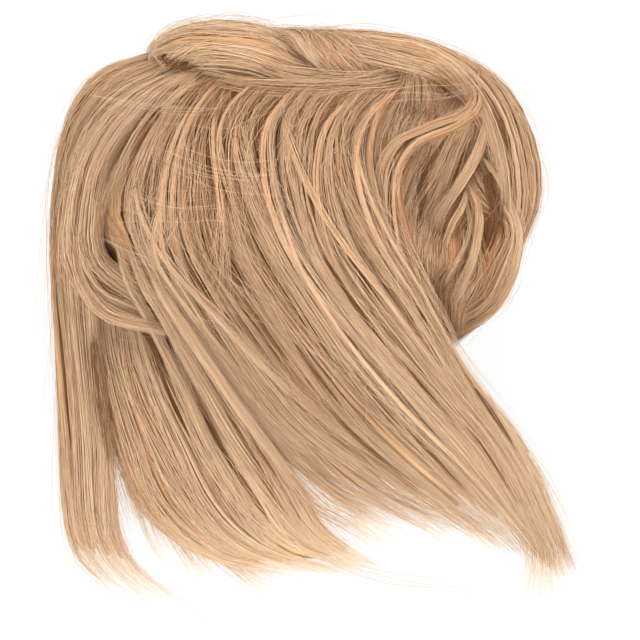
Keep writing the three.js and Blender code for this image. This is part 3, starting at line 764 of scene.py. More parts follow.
# Strands. Each function gives lines of points, and a column of widths and one of tones.
class Combing:
    """The combed strands of one section, each in a wisp of one of its locks."""

    SHORT_LEAN = 1.3
    WISP_SHORT = 0.5
    WISP_SWAY = 0.32
    WISP_TURNS = 0.7
    STRAND_SWAY = 0.07
    STRAY_SWAY = 0.9
    STRAND_TURNS = 0.8
    ROOT_END = 0.25
    ROOT_SWAY = 0.1
    TOP_LEVEL = 0.98
    LEVEL_RANGE = 0.22
    LEVEL_LEAN = 1.5
    UNDERSIDE = -0.8
    RIM_SWAY = 0.012
    LOCK_REACH = 1.06
    STRAND_WAVE = 0.12
    STRAY_WAVE = 0.7
    WAVE_TURNS = 0.9
    STRAY_RISE = 0.7
    FAN_START = 0.6
    OWN_FAN = 0.5
    MIDDLE_TONE = 0.52
    TONE_SPREAD = 0.115
    # Painted shade: strands that lie deeper in their lock are darker
    DEPTH_PAINTED_SHADE = 0.7
    LIT_LEVEL = 0.95
    STRAY_TONE = 0.14
    WIDTH = (0.8, 1.2)
    STRAY_WIDTH = 0.7

    def __init__(self, sheet, plan, hair):
        self.sheet = sheet
        self.plan = plan
        self.hair = hair
        self.count = hair["strands"]
        self.wisps = WispPlan(hair)
        self.lock = rng.choice(hair["locks"], self.count, p=plan.half.ravel() / plan.half.sum())
        self.wisp = rng.integers(0, hair["wisps"], self.count)
        self.stray = draw(self.count) < hair["stray"]
        self.under = draw(self.count) < hair["under"]
        self.along = self.places_along()
        self.side = self.places_in_lock()
        self.level = self.levels()
        self.across = self.places_across()

    def of_wisp(self, table):
        """A column with the value of each strand's own wisp."""
        return table[self.lock, self.wisp][:, None]

    def places_along(self):
        """Where each strand has its points, from its root to its own end."""
        start = -self.hair["root_spread"] * draw(self.count)
        short = self.WISP_SHORT * self.of_wisp(self.wisps.short)
        short = short + self.hair["ragged"] * draw(self.count) ** self.SHORT_LEAN
        end = 1 + self.hair["overrun"] - short
        return start + (end - start) * self.sheet.stations(self.hair["steps"])

    def places_in_lock(self):
        """Place of each strand across its lock, from -1 to 1."""
        wisps = self.hair["wisps"]
        places = even_places(self.hair["steps"])
        sway = drift(self.hair["locks"] * wisps, places, self.WISP_SWAY, self.WISP_TURNS)
        sway = sway[self.lock * wisps + self.wisp]
        own_sway = np.where(self.stray, self.STRAY_SWAY, self.STRAND_SWAY)
        sway = sway + drift(self.count, self.along, own_sway, self.STRAND_TURNS)
        side = self.of_wisp(self.wisps.side) + scatter(self.count, self.hair["blend"])
        return side + sway * np.maximum(ramp(self.along, 0, self.ROOT_END), self.ROOT_SWAY)

    def levels(self):
        """How high each strand lies in its lock, as a share of the depth."""
        deep = draw(self.count) ** self.LEVEL_LEAN
        return self.TOP_LEVEL - self.LEVEL_RANGE * deep + self.of_wisp(self.wisps.level)

    def places_across(self):
        """Place of each strand across the section: in its lock, or round the section's rim."""
        on_rim = draw(self.count) < self.hair["rim"]
        inward = self.hair["edge"] * (1 - np.cos(draw(self.count, 0, math.pi / 2)))
        rim = np.where(draw(self.count) < 0.5, inward, 1 - inward)
        rim = rim + drift(self.count, self.along, self.RIM_SWAY, self.STRAND_TURNS)
        middle, half = self.plan.place(self.lock, self.along)
        across = middle + self.LOCK_REACH * half * self.side
        across = opened(across, self.along, self.hair["slits"] + self.hair["gaps"])
        return np.where(on_rim, rim, across)

    def heights(self):
        """Height of each strand off the sheet, in millimetres."""
        depth = self.sheet.depth(self.along)
        arch = np.sqrt(np.clip(1 - self.side ** 2, 0, 1))
        arch = 1 - self.hair["round"] + self.hair["round"] * arch
        fall = 1 - ramp(np.minimum(self.across, 1 - self.across), 0, self.hair["edge"])
        level = np.where(self.under, self.UNDERSIDE, 1.0) * self.level
        wave = np.where(self.stray, self.STRAY_WAVE, self.STRAND_WAVE)
        height = depth * level * arch * np.sqrt(1 - fall ** 2)
        height = height + self.plan.ride(self.lock, self.side, depth)
        height = height + drift(self.count, self.along, wave, self.WAVE_TURNS)
        return height + np.where(self.stray, self.STRAY_RISE, 0.0)

    def lines(self):
        """Points of every strand, with tips that fan out."""
        height = self.heights()
        fan = self.of_wisp(self.wisps.fan) + scatter(self.count, self.OWN_FAN * self.hair["fan"])
        loose = np.maximum(self.along - self.FAN_START, 0) / (1 - self.FAN_START)
        return self.sheet.at(self.across, self.along, height, fan * loose ** 2)

    def tones(self):
        """Tone of every strand: hair deep in its lock is painted darker as shade, and stray hair is paler."""
        tone = self.MIDDLE_TONE + self.hair["tone"] + self.plan.tone[self.lock]
        tone = tone + self.of_wisp(self.wisps.tone) + scatter(self.count, self.TONE_SPREAD)
        tone = tone - self.DEPTH_PAINTED_SHADE * (self.LIT_LEVEL - self.level)
        return tone + np.where(self.stray, self.STRAY_TONE, 0.0)

    def widths(self):
        """Radius of every strand, in millimetres."""
        return STRAND_RADIUS * draw(self.count, *self.WIDTH) * np.where(self.stray, self.STRAY_WIDTH, 1.0)


def combed(sheet, plan, hair):
    """Strands of one section: locks, wisps in the locks, and single strands in the wisps."""
    combing = Combing(sheet, plan, hair)
    lines = combing.lines()
    tones = combing.tones()
    return lines, combing.widths(), tones


def flyaway(sheet, count, reach):
    """Loose fine hairs that leave a section, most of them at its edges."""
    places = even_places(FINE_STEPS)
    edge = rng.choice([-1.0, 1.0], (count, 1))
    near_edge = draw(count) < FLYAWAY["edge_share"]
    inward = np.where(near_edge, FLYAWAY["edge_width"], 1.0) * draw(count)
    across = np.where(edge < 0, inward, 1 - inward) + 0 * places
    start = draw(count, *FLYAWAY["start"])
    along = np.minimum(start + draw(count, *FLYAWAY["run"]) * places, FLYAWAY["end"])
    reach = reach * draw(count, *FLYAWAY["reach"]) ** FLYAWAY["reach_lean"]
    away = reach * places ** draw(count, *FLYAWAY["bow"])
    height = sheet.depth(along) * draw(count, *FLYAWAY["level"])
    height = height + draw(count, *FLYAWAY["lift"]) * away
    lines = sheet.at(across, along, height, edge * away)
    width = STRAND_RADIUS * draw(count, *FLYAWAY["width"])
    return lines, width, draw(count, *FLYAWAY["tone"])


def crossing(sheet, count):
    """Loose fine hairs that lie over the locks at a slant."""
    places = even_places(FINE_STEPS)
    arch = np.sin(math.pi * places)
    start = draw(count, *CROSSING["start"])
    along = start + draw(count, *CROSSING["run"]) * places
    slant = scatter(count, CROSSING["slant_spread"])
    bow = scatter(count, CROSSING["bow_spread"])
    across = np.clip(draw(count) + slant * places + bow * arch, 0.0, 1.0)
    height = sheet.depth(along) + draw(count, *CROSSING["clear"])
    height = height + draw(count, *CROSSING["arch"]) * arch
    lines = sheet.at(across, along, height)
    width = STRAND_RADIUS * draw(count, *CROSSING["width"])
    return lines, width, draw(count, *CROSSING["tone"])


def stray_locks(sheet, count):
    """Small locks that lie over a section at a slant."""
    places = even_places(STRAY_LOCK["steps"])
    arch = np.sin(math.pi * places)
    lock = np.repeat(np.arange(count), STRAY_LOCK["strands"])
    strands = len(lock)
    start = draw(count, *STRAY_LOCK["start"])[lock] + draw(strands, *STRAY_LOCK["own_start"])
    length = draw(count, *STRAY_LOCK["run"])[lock] + draw(strands, *STRAY_LOCK["own_run"])
    along = start + length * places
    slant = scatter(count, STRAY_LOCK["slant_spread"])[lock]
    bow = scatter(count, STRAY_LOCK["bow_spread"])[lock]
    half = draw(count, *STRAY_LOCK["half"])[lock] * np.interp(places, *STRAY_LOCK["taper"])
    middle = draw(count, *STRAY_LOCK["across"])[lock] + slant * places + bow * arch
    side = scatter(strands, STRAY_LOCK["side_spread"])
    side = side + drift(strands, places, STRAY_LOCK["sway"], STRAY_LOCK["turns"])
    across = np.clip(middle + half * side, 0.0, 1.0)
    height = sheet.depth(along) + STRAY_LOCK["arch"] * arch + STRAY_LOCK["crown"] * (1 - side ** 2)
    tone = STRAY_LOCK["tone"] + FALL_RISE * (start + length / 2 - RISE_MIDDLE)
    tone = tone + scatter(strands, STRAY_LOCK["tone_spread"])
    width = STRAND_RADIUS * draw(strands, *STRAY_LOCK["width"])
    return sheet.at(across, along, height), width, tone


def parting_shade_strands(sheet, gaps):
    """Dark strands laid deep in the partings of a section as painted shade, spread like a spindle."""
    table = np.array(gaps)
    strands = PARTING_SHADE["strands"] + (PARTING_SHADE["more_strands"] * table[:, 2]).astype(int)
    row = np.repeat(np.arange(len(gaps)), strands)
    middle, station, half, length = table.T[:, row, None]
    count = len(row)
    places = even_places(FINE_STEPS)
    across = middle + half * draw(count, -1, 1) * np.sin(math.pi * places) ** PARTING_SHADE["spindle"]
    along = station + length * (2 * places - 1) * draw(count, *PARTING_SHADE["run"])
    height = sheet.depth(along) * draw(count, *PARTING_SHADE["level"])
    lines = sheet.at(across, along, height)
    width = STRAND_RADIUS * draw(count, *PARTING_SHADE["width"])
    return lines, width, draw(count)


def route_frame(route):
    """Places along a smooth route, its points there, and the directions aside and over it."""
    places = np.linspace(0, 1, WISP["route_points"])
    line = smooth_rows(np.array(route, float), places * (len(route) - 1))
    forward = unit(np.gradient(line, axis=0))
    side = unit(np.cross(forward, UP))
    return places, line, side, np.cross(side, forward)


def wisp_strands(wisp):
    """Strands of one listed wisp along its route."""
    count = wisp["strands"]
    places, line, side, over = route_frame(wisp["route"])
    start = draw(count, *WISP["start"])
    end = 1 - WISP["ragged"] * draw(count) ** WISP["ragged_lean"]
    along = start + (end - start) * even_places(len(wisp["route"]) + WISP["more_steps"])

    def on_route(table):
        return np.stack([np.interp(along, places, table[:, axis]) for axis in range(3)], -1)

    angle = draw(count, 0, FULL_TURN)
    radius = np.sqrt(draw(count))
    flare = WISP["shade_flare"] if wisp["finish"] == "shade" else WISP["flare"]
    half = wisp["width"] / 2 * np.interp(along, WISP["taper_at"], [WISP["root"], 1, 1, flare])
    aside = half * (radius * np.cos(angle) + drift(count, along, WISP["sway"], WISP["turns"]))
    lift = half * (radius * np.sin(angle) + drift(count, along, WISP["sway"], WISP["turns"]))
    lines = on_route(line) + on_route(side) * aside[..., None]
    lines = lines + on_route(over) * WISP["flatness"] * lift[..., None]
    tone = WISP["tone"] + wisp["tone"] + scatter(count, WISP["tone_spread"])
    thin = WISP["fine_width"] if wisp["finish"] == "fine" else 1.0
    return lines, thin * STRAND_RADIUS * draw(count, *WISP["width"]), tone


# Meshes from arrays
def mesh_from(name, points, faces, tones, lengths, material):
    """One piece from arrays: points in millimetres, rows of faces of one size, and bake places."""
    mesh = bpy.data.meshes.new(name)
    place = np.asarray(points, float).reshape(-1, 3) * MM + BAND_CENTRE
    loops = np.concatenate([rows.ravel() for rows in faces])
    sizes = np.concatenate([np.full(len(rows), rows.shape[1]) for rows in faces])
    starts = np.concatenate([[0], np.cumsum(sizes)[:-1]])
    mesh.vertices.add(len(place))
    mesh.vertices.foreach_set("co", place.astype(np.float32).ravel())
    mesh.loops.add(len(loops))
    mesh.loops.foreach_set("vertex_index", loops.astype(np.int32))
    mesh.polygons.add(len(sizes))
    mesh.polygons.foreach_set("loop_start", starts.astype(np.int32))
    mesh.polygons.foreach_set("use_smooth", np.ones(len(sizes), bool))
    layer = mesh.uv_layers.new(name=BAKE_MAP)
    shape = points.shape[:-1]
    across = np.broadcast_to(tones, shape).ravel()[loops]
    along = np.broadcast_to(lengths, shape).ravel()[loops]
    layer.data.foreach_set("uv", np.stack([across, along], 1).astype(np.float32).ravel())
    mesh.materials.append(material)
    mesh.update(calc_edges=True)
    piece = bpy.data.objects.new(name, mesh)
    bpy.context.scene.collection.objects.link(piece)
    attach(piece, BODY)
    return piece


def within(places, margin):
    """Places from 0 to 1, kept a margin inside the bake map or a column of it."""
    return margin + (1 - 2 * margin) * places


def tube_faces(count, steps, sides):
    """Side faces and the two end faces of many closed tubes, ring after ring."""
    base = (np.arange(count) * steps * sides)[:, None, None]
    step = (np.arange(steps - 1) * sides)[None, :, None]
    corner = np.arange(sides)[None, None, :]
    after = (corner + 1) % sides
    quads = [base + step + corner, base + step + after]
    quads += [base + step + sides + after, base + step + sides + corner]
    first = base[:, 0] + np.arange(sides)[::-1]
    last = base[:, 0] + (steps - 1) * sides + np.arange(sides)
    return [np.stack(quads, -1).reshape(-1, 4), first, last]


def strand_mesh(name, lines, width, tone, material):
    """Closed three-sided tapering tubes along many lines, joined as one mesh."""
    count, steps = lines.shape[:2]
    sides = STRAND_SIDES
    lines = np.concatenate([lines[..., :2], np.maximum(lines[..., 2:], FLOOR_CLEARANCE)], -1)
    forward = unit(np.gradient(lines, axis=1))
    side = unit(np.cross(forward, NEARLY_UP))
    over = np.cross(side, forward)
    places = np.linspace(0, 1, steps)
    radius = width * np.interp(places, *STRAND_TAPER)
    turns = np.arange(sides) * FULL_TURN / sides + math.pi / 2
    ring = np.cos(turns)[:, None] * side[:, :, None, :] + np.sin(turns)[:, None] * over[:, :, None, :]
    points = lines[:, :, None, :] + ring * radius[:, :, None, None]
    column = np.clip((tone * TONE_COLUMNS).astype(int), 0, TONE_COLUMNS - 1)[..., None]
    tones = (column + within(np.linspace(0, 1, sides), COLUMN_MARGIN)) / TONE_COLUMNS
    lengths = within(places, STRAND_MARGIN)[None, :, None]
    return mesh_from(name, points, tube_faces(count, steps, sides), tones, lengths, material)


def add_strands(name, lines, width, tone, material):
    """Strand meshes of one section, split so that each stays a moderate size."""
    each = 2 * STRAND_SIDES * (lines.shape[1] - 1) + 2 * (STRAND_SIDES - 2)
    parts = math.ceil(len(lines) * each / PIECE_TRIANGLES)
    pieces = []
    for part in range(parts):
        pick = slice(part, None, parts)
        label = name if parts == 1 else f"{name}_{part + 1}"
        pieces.append(strand_mesh(label, lines[pick], width[pick], tone[pick], material))
    return pieces


def lock_tubes(sheet, plan, along, share, drop, widen, inset):
    """Rings of closed under-locks: points of each lock's smooth oval tube."""
    locks = len(plan.half)
    lock = np.arange(locks)
    steps = along.shape[1]
    along = np.broadcast_to(along, (locks, steps))
    middle, half = plan.place(lock, along)
    swell = np.interp(even_places(steps), *BODY_TAPER)[..., None]
    turns = np.arange(BODY_SIDES) * FULL_TURN / BODY_SIDES
    ridge = 1 + rng.normal(0, RIDGE_SPREAD, (locks, 1, BODY_SIDES))
    across = middle[..., None] + widen * half[..., None] * np.cos(turns) * swell
    across = opened(np.clip(across, inset, 1 - inset), along[..., None], plan.slits)
    depth = sheet.depth(along)[..., None]
    ride = plan.ride(lock[:, None], np.cos(turns), depth)
    height = depth * (share * np.sin(turns) * swell * ridge - drop) + ride
    grid = sheet.at(across, np.broadcast_to(along[..., None], across.shape), height)
    grid[..., 2] = np.maximum(grid[..., 2], FLOOR_CLEARANCE)
    return grid


def section_body(name, sheet, plan, hair, material):
    """The under-hair of a section: wide locks below, and its own locks over them."""
    base_plan = LockPlan({**hair, **BASE_PLAN, "locks": max(hair["base_locks"], 1)})
    along = hair["body_start"] + (hair["body_end"] - hair["body_start"]) * sheet.stations(BODY_STEPS)
    grid = lock_tubes(sheet, plan, along, hair["body_depth"], 0.0, BODY_WIDTH, hair["inset"])
    if hair["base_locks"]:
        base = lock_tubes(sheet, base_plan, along, BASE_DEPTH, BASE_DROP, 1.0, hair["inset"])
        grid = np.concatenate([base, grid])
    count, steps, sides = grid.shape[:3]
    tones = (np.arange(count)[:, None, None] + within(np.arange(sides) / sides, LOCK_MARGIN)) / count
    lengths = within(even_places(steps)[..., None], STRAND_MARGIN)
    piece = mesh_from(name, grid, tube_faces(count, steps, sides), tones, lengths, material)
    return piece


# Materials
class Value:
    """A socket of a material's nodes; sums and products on it add Math nodes."""

    def __init__(self, shader, socket):
        self.shader = shader
        self.socket = socket

    def math(self, operation, first, second):
        return self.shader.node("ShaderNodeMath", {"operation": operation}, {0: first, 1: second})

    def __add__(self, other):
        return self.math("ADD", self, other)

    def __sub__(self, other):
        return self.math("SUBTRACT", self, other)

    def __rsub__(self, other):
        return self.math("SUBTRACT", other, self)

    def __mul__(self, other):
        return self.math("MULTIPLY", self, other)

    __radd__ = __add__
    __rmul__ = __mul__


class Shader:
    """A node material that is written as expressions."""

    def __init__(self, name):
        self.material = bpy.data.materials.new(name)
        self.material.use_nodes = True
        self.nodes = self.material.node_tree.nodes
        self.links = self.material.node_tree.links
        self.surface = self.nodes["Principled BSDF"]

    def node(self, kind, settings=None, sockets=None, output=0):
        """A new node with its settings and sockets, as the value of one of its outputs."""
        made = self.nodes.new(kind)
        for key, setting in (settings or {}).items():
            if key == "stops":
                for stop, (place, colour) in zip(made.color_ramp.elements, setting):
                    stop.position = place
                    stop.color = (*colour, 1)
            else:
                setattr(made, key, setting)
        for key, value in (sockets or {}).items():
            self.feed(made.inputs[key], value)
        return Value(self, made.outputs[output])

    def feed(self, socket, value):
        """Links a value to a socket, or sets the socket to a number or colour."""
        if isinstance(value, Value):
            self.links.new(value.socket, socket)
        else:
            socket.default_value = value

    def finish(self, **sockets):
        """The material, with the sockets of its surface fed by name."""
        for key, value in sockets.items():
            self.feed(self.surface.inputs[key.replace("_", " ")], value)
        return self.material


def bake_place(shader):
    """The place in the bake map: tone across, length along."""
    return shader.node("ShaderNodeUVMap", {"uv_map": BAKE_MAP})


def part_of(shader, place, axis):
    """One part of a place: X or Y."""
    return shader.node("ShaderNodeSeparateXYZ", {}, {0: place}, axis)


def streaks(shader, place, across, along):
    """Noise drawn out along the hair, about zero."""
    stretch = {0: place, 1: (across, along, 1.0)}
    drawn = shader.node("ShaderNodeVectorMath", {"operation": "MULTIPLY"}, stretch)
    noise = shader.node("ShaderNodeTexNoise", {"noise_dimensions": "2D"}, {"Vector": drawn, "Scale": 1.0})
    return noise - 0.5


def ramped(shader, shade, low, high):
    """A colour between two stops, each of a place and a colour."""
    return shader.node("ShaderNodeValToRGB", {"stops": (low, high)}, {"Fac": shade})


def lit_at_tip(shader, colour, along, tip_colour, amount, start):
    """A colour that turns into the tip's paler colour from a start along the hair: painted light shining
    through the thin ends.
    """
    late = (along - start) * (1 / (1 - start))
    share = late.math("MAXIMUM", late, 0.0) * amount
    sockets = {0: share, 6: colour, 7: (*tip_colour, 1)}
    return shader.node("ShaderNodeMix", {"data_type": "RGBA"}, sockets, 2)


def strand_finish(name, rise, tip=0.0, start=0.0):
    """Blond fibre: a tone for each strand, deeper at the root, and golden at a loose tip as painted light
    shining through the thin ends.
    """
    shader = Shader(name)
    place = bake_place(shader)
    along = part_of(shader, place, "Y")
    shade = part_of(shader, place, "X") + streaks(shader, place, *STRAND_STREAKS) * STRAND_CONTRAST
    shade = shade + (along - RISE_MIDDLE) * rise
    colour = ramped(shader, shade, (0.0, HAIR_DARK), (1.0, HAIR_PALE))
    if tip:
        colour = lit_at_tip(shader, colour, along, HAIR_TIP_LIT, tip, start)
    return shader.finish(Base_Color=colour, Roughness=0.5, Specular_IOR_Level=0.16)


def under_finish(name, dark=UNDER_SHADED_DARK, pale=UNDER_SHADED_PALE, tip=0.0, start=0.0):
    """The deeper hair below the top strands, painted darker as shade between them, with fine streaks along
    it.
    """
    shader = Shader(name)
    place = bake_place(shader)
    fine = streaks(shader, place, *FINE_STREAKS)
    broad = streaks(shader, place, *BROAD_STREAKS)
    shade = UNDER_TONE + fine * FINE_CONTRAST + broad * BROAD_CONTRAST
    colour = ramped(shader, shade, (0.0, dark), (1.0, pale))
    if tip:
        colour = lit_at_tip(shader, colour, part_of(shader, place, "Y"), UNDER_TIP_LIT, tip, start)
    relief = {"Strength": 0.5, "Distance": 0.0004, "Height": fine}
    bump = shader.node("ShaderNodeBump", {}, relief, "Normal")
    return shader.finish(Base_Color=colour, Normal=bump, Roughness=0.6, Specular_IOR_Level=0.1)


def elastic_finish():
    """Brown covered elastic with a fine grain."""
    shader = Shader("covered_elastic")
    place = shader.node("ShaderNodeTexCoord", {}, {}, "Object")
    grain = shader.node("ShaderNodeTexNoise", {}, {"Vector": place, "Scale": 900.0, "Detail": 3.0})
    colour = ramped(shader, grain, (0.25, ELASTIC_DARK), (0.75, ELASTIC_PALE))
    relief = {"Strength": 0.4, "Distance": 0.0002, "Height": grain}
    bump = shader.node("ShaderNodeBump", {}, relief, "Normal")
    return shader.finish(Base_Color=colour, Normal=bump, Roughness=0.85)


def floor_finish():
    """Pale floor that glows evenly, with a soft shadow on it."""
    shader = Shader("pale_floor")
    glow = dict(Emission_Color=WHITE, Emission_Strength=FLOOR_GLOW)
    return shader.finish(Base_Color=FLOOR_GREY, Roughness=0.9, **glow)


def hair_finishes():
    """The finishes of the hair by name: the strands, and the under-hair below them."""
    fibre = strand_finish("blond_fibre", BLOND_RISE)
    under = under_finish("under_fibre")
    tail = strand_finish("tail_fibre", TAIL_RISE, tip=0.95, start=0.55)
    tail_under = under_finish("tail_under_fibre", tip=0.9, start=0.55)
    long_tail = strand_finish("long_tail_fibre", 0.0, tip=0.95, start=0.76)
    long_tail_under = under_finish("long_tail_under_fibre", tip=0.9, start=0.76)
    # painted shade: the finish of the dark strands in crevices, pockets and partings
    shaded = under_finish("painted_shade_fibre", PAINTED_SHADE_DARK, PAINTED_SHADE_PALE)
    soft_under = under_finish("soft_under_fibre", UNDER_SHADED_PALE, HAIR_MIDDLE)
    fall = strand_finish("fall_fibre", FALL_RISE, tip=0.2, start=0.78)
    fall_under = under_finish("fall_under_fibre", tip=0.9, start=0.78)
    return {
        "blond": (fibre, under),
        "fine": (fibre, under),
        "soft": (fibre, soft_under),
        "shade": (shaded, under),
        "tail": (tail, tail_under),
        "long_tail": (long_tail, long_tail_under),
        "fall": (fall, fall_under),
    }


# Hollow puff and band
def puff_point(turn, lift):
    """A point of the outer puff: turn round it, lift from its waist (0) to its top (1)."""
    angle = lift * math.pi / 2
    x = PUFF_HALF_LENGTH * np.cos(angle) * np.cos(turn)
    y = PUFF_HALF_WIDTH * np.cos(angle) * np.sin(turn)
    z = PUFF_WAIST + (PUFF_HEIGHT - PUFF_WAIST) * np.sin(angle)
    return np.stack([x, y, z], -1)


def dented(points):
    """Points pressed down into the pocket at the right of the bun."""
    away = (points - POCKET_CENTRE) / POCKET_HALF
    plan = np.clip(1 - away[..., 0] ** 2 - away[..., 1] ** 2, 0, 1)
    floor = POCKET_CENTRE[2] - POCKET_HALF[2] * np.sqrt(plan)
    inside = (plan > 0) & (points[..., 2] > floor)
    points = points.copy()
    points[..., 2] = np.where(inside, floor, points[..., 2])
    return points


def puff_top(points):
    """Height of the puff and its pocket under points seen in plan, and 0 beside the puff."""
    rise = 1 - (points[..., 0] / PUFF_HALF_LENGTH) ** 2 - (points[..., 1] / PUFF_HALF_WIDTH) ** 2
    height = PUFF_WAIST + (PUFF_HEIGHT - PUFF_WAIST) * np.sqrt(np.maximum(rise, 0))
    top = points.copy()
    top[..., 2] = np.where(rise > 0, height, 0)
    return dented(top)[..., 2]


def puff_body(material):
    """Hollow puff: the dome inside, the rim, the flat foot, and the rounded outside."""
    turn = np.linspace(0, FULL_TURN, PUFF_SEGMENTS, endpoint=False)
    circle = np.stack([np.cos(turn), np.sin(turn), np.ones(PUFF_SEGMENTS)], -1)
    waist = puff_point(turn, np.zeros(PUFF_SEGMENTS))
    rows = []
    for share, height in HOLLOW_ROWS:
        rows.append(circle * np.array([share * HOLLOW_RADIUS, share * HOLLOW_RADIUS, height]))
    for share, height in PUFF_FOOT[:-1]:
        rows.append(waist * np.array([share, share, 0]) + height * UP)
    for lift in PUFF_LIFTS:
        rows.append(dented(puff_point(turn, np.full(PUFF_SEGMENTS, lift))))
    tones = within(np.linspace(0, 1, len(rows)), SOLID_MARGIN)[:, None]
    lengths = within(np.arange(PUFF_SEGMENTS) / PUFF_SEGMENTS, SOLID_MARGIN)
    faces = tube_faces(1, len(rows), PUFF_SEGMENTS)
    piece = mesh_from("inner_hair_puff", np.array(rows), faces, tones, lengths, material)
    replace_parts(piece, "inner_hair")


def puff_strands():
    """Strands coiled round the puff, crossing at shallow angles and clear of the pocket."""
    count = COIL["strands"]
    places = even_places(COIL["steps"])
    start = draw(count, 0, FULL_TURN)
    sweep = draw(count, *COIL["sweep"])
    lift = draw(count, *COIL["lift"])
    lift = lift * np.where(draw(count) < COIL["low_share"], COIL["low_lift"], 1.0)
    climb = scatter(count, COIL["climb_spread"]) * (2 * places - 1)
    height = np.clip(lift + climb, COIL["lift"][0], COIL["highest"])
    lines = puff_point(start + sweep * places, np.maximum(height, 0))
    lines[..., 2] += np.minimum(height, 0) * COIL["foot_drop"] * PUFF_WAIST
    share, level = zip(*PUFF_FOOT)
    lines[..., :2] *= np.interp(lines[..., 2], level, share)[..., None]
    lines[..., :2] *= 1 + draw(count, *COIL["off"])[..., None]
    away = (lines - POCKET_CENTRE)[..., :2] / POCKET_HALF[:2]
    clear = (np.sum(away ** 2, -1) > COIL["pocket_edge"]) | (lines[..., 2] < COIL["pocket_foot"])
    lines = lines[np.all(clear, axis=1)]
    width = STRAND_RADIUS * draw(len(lines), *COIL["width"])
    return lines, width, COIL["tone"] + scatter(len(lines), COIL["tone_spread"])


def foot_strands():
    """Strands that run from the rim of the hollow out under the puff and up its side."""
    count = FOOT["strands"]
    places = even_places(FOOT["steps"])
    turn = draw(count, 0, FULL_TURN)
    heading = turn + scatter(count, FOOT["heading_spread"]) * places
    rim = np.stack([np.cos(heading), np.sin(heading)], -1) * (HOLLOW_RADIUS + FOOT["rim_gap"])
    edge = puff_point(heading, np.zeros_like(heading))[..., :2]
    share, level = zip(*PUFF_FOOT)
    stations = np.linspace(FOOT["outer_start"], 1, len(share))
    out = ramp(places, 0, FOOT["outer_start"])[..., None]
    plan = rim * (1 - out) + edge * out * np.interp(places, stations, share)[..., None]
    height = np.interp(places, stations, level) + draw(count, *FOOT["rise"])
    lines = np.concatenate([plan * FOOT["off"], height[..., None]], -1)
    width = STRAND_RADIUS * draw(count, *FOOT["width"])
    return lines, width, FOOT["tone"] + scatter(count, FOOT["tone_spread"])


def band_piece(material):
    """Ribbed covered elastic ring with a flat foot."""
    turn = np.linspace(0, FULL_TURN, BAND_STEPS, endpoint=False)[:, None]
    curl = np.linspace(0, FULL_TURN, BAND_SIDES, endpoint=False)[None, :]
    rib = 1 + RIB_HEIGHT * np.cos(BAND_RIBS * turn)
    square = np.maximum(np.abs(np.cos(curl)), np.abs(np.sin(curl))) ** BAND_CORNER
    radius = BAND_RADIUS + BAND_HALF_WIDTH * np.cos(curl) / square * rib
    height = np.maximum(BAND_HEIGHT / 2 * (1 + np.sin(curl) / square * rib), BAND_FOOT)
    grid = np.stack([radius * np.cos(turn), radius * np.sin(turn), height], -1)
    step = np.arange(BAND_STEPS)[:, None]
    corner = np.arange(BAND_SIDES)[None, :]
    ring = step * BAND_SIDES
    ring_after = (step + 1) % BAND_STEPS * BAND_SIDES
    corner_after = (corner + 1) % BAND_SIDES
    quads = [ring + corner, ring_after + corner, ring_after + corner_after, ring + corner_after]
    faces = [np.stack(quads, -1).reshape(-1, 4)]
    tones = within(step / BAND_STEPS, SOLID_MARGIN)
    lengths = within(corner / BAND_SIDES, SOLID_MARGIN)
    piece = mesh_from("covered_elastic_band", grid, faces, tones, lengths, material)
    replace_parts(piece, "elastic_band")


# Camera, floor and light
def set_camera():
    """Overhead camera over the middle of the view."""
    data = bpy.data.cameras.new("overhead_camera")
    data.lens = CAMERA_LENS
    data.sensor_width = CAMERA_SENSOR
    camera = bpy.data.objects.new("overhead_camera", data)
    x, y = BAND_CENTRE[:2] + np.array(CAMERA_PLAN) * MM
    camera.location = (x, y, CAMERA_HEIGHT)
    bpy.context.scene.collection.objects.link(camera)
    bpy.context.scene.camera = camera


def set_floor():
    """Wide plain floor just under the piece."""
    bpy.ops.mesh.primitive_plane_add(size=FLOOR_SIZE, location=(0, 0, FLOOR_LEVEL))
    floor = bpy.context.object
    floor.name = "pale_floor"
    floor.data.materials.append(floor_finish())


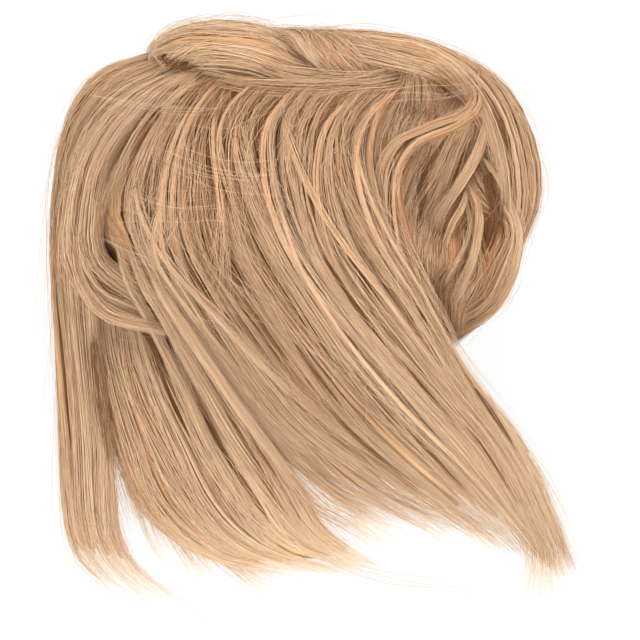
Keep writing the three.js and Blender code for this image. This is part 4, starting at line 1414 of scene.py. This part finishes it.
def set_lights():
    """Three softboxes aimed at the piece, in an evenly lit room."""
    for softbox in SOFTBOXES:
        data = bpy.data.lights.new(softbox["name"], "AREA")
        data.size = softbox["size"]
        data.energy = softbox["power"]
        lamp = bpy.data.objects.new(softbox["name"], data)
        lamp.location = softbox["place"]
        aim = -lamp.location
        lamp.rotation_euler = aim.to_track_quat("-Z", "Y").to_euler()
        bpy.context.scene.collection.objects.link(lamp)
    world = bpy.data.worlds.new("soft_room")
    world.use_nodes = True
    background = world.node_tree.nodes["Background"]
    background.inputs["Color"].default_value = WHITE
    background.inputs["Strength"].default_value = ROOM_LIGHT
    bpy.context.scene.world = world
    bpy.context.scene.view_settings.view_transform = "Standard"


# Pieces
def add_section(label, section, combing, finishes):
    """Under-hair, strands and loose hairs of one section; gives the under-hair."""
    hair = {**PLAIN, **combing}
    strand, under = finishes[hair["finish"]]
    fibre = finishes["blond"][0]
    sheet = HairSheet(section)
    plan = LockPlan(hair)
    body = section_body(label + "_under", sheet, plan, hair, under)
    add_strands(label + "_strands", *combed(sheet, plan, hair), strand)
    add_strands(label + "_flyaways", *flyaway(sheet, hair["flyaways"], hair["reach"]), fibre)
    add_strands(label + "_crossings", *crossing(sheet, hair["crossings"]), fibre)
    # Painted shade: dark strands in the section's partings
    if hair["gaps"]:
        add_strands(label + "_partings", *parting_shade_strands(sheet, hair["gaps"]), finishes["shade"][0])
    if hair["stray_locks"]:
        add_strands(label + "_stray_locks", *stray_locks(sheet, hair["stray_locks"]), fibre)
    return body


def add_inner_hair(finishes):
    """The puff with its own strands, and the combed back of the pocket in it."""
    fibre = finishes["blond"][0]
    puff_body(finishes["soft"][1])
    add_strands("inner_hair_coil", *puff_strands(), fibre)
    add_strands("inner_hair_foot", *foot_strands(), fibre)
    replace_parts(add_section("pocket_back", POCKET_BACK, POCKET_BACK_COMBING, finishes), "inner_hair")


def add_wisps(finishes):
    """The locks in the pocket, and the loose wisps over the sections."""
    for wisp in POCKET_WISPS:
        pieces = add_strands(wisp["name"], *wisp_strands(wisp), finishes[wisp["finish"]][0])
        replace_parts(pieces[0], "pocket_locks")
    for wisp in LOOSE_WISPS:
        add_strands(wisp["name"] + "_wisp", *wisp_strands(wisp), finishes[wisp["finish"]][0])


set_camera()
set_floor()
set_lights()
FINISHES = hair_finishes()
band_piece(elastic_finish())
add_inner_hair(FINISHES)
for label, section, combing in SECTIONS:
    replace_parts(add_section(label, section, combing, FINISHES), label)
add_wisps(FINISHES)
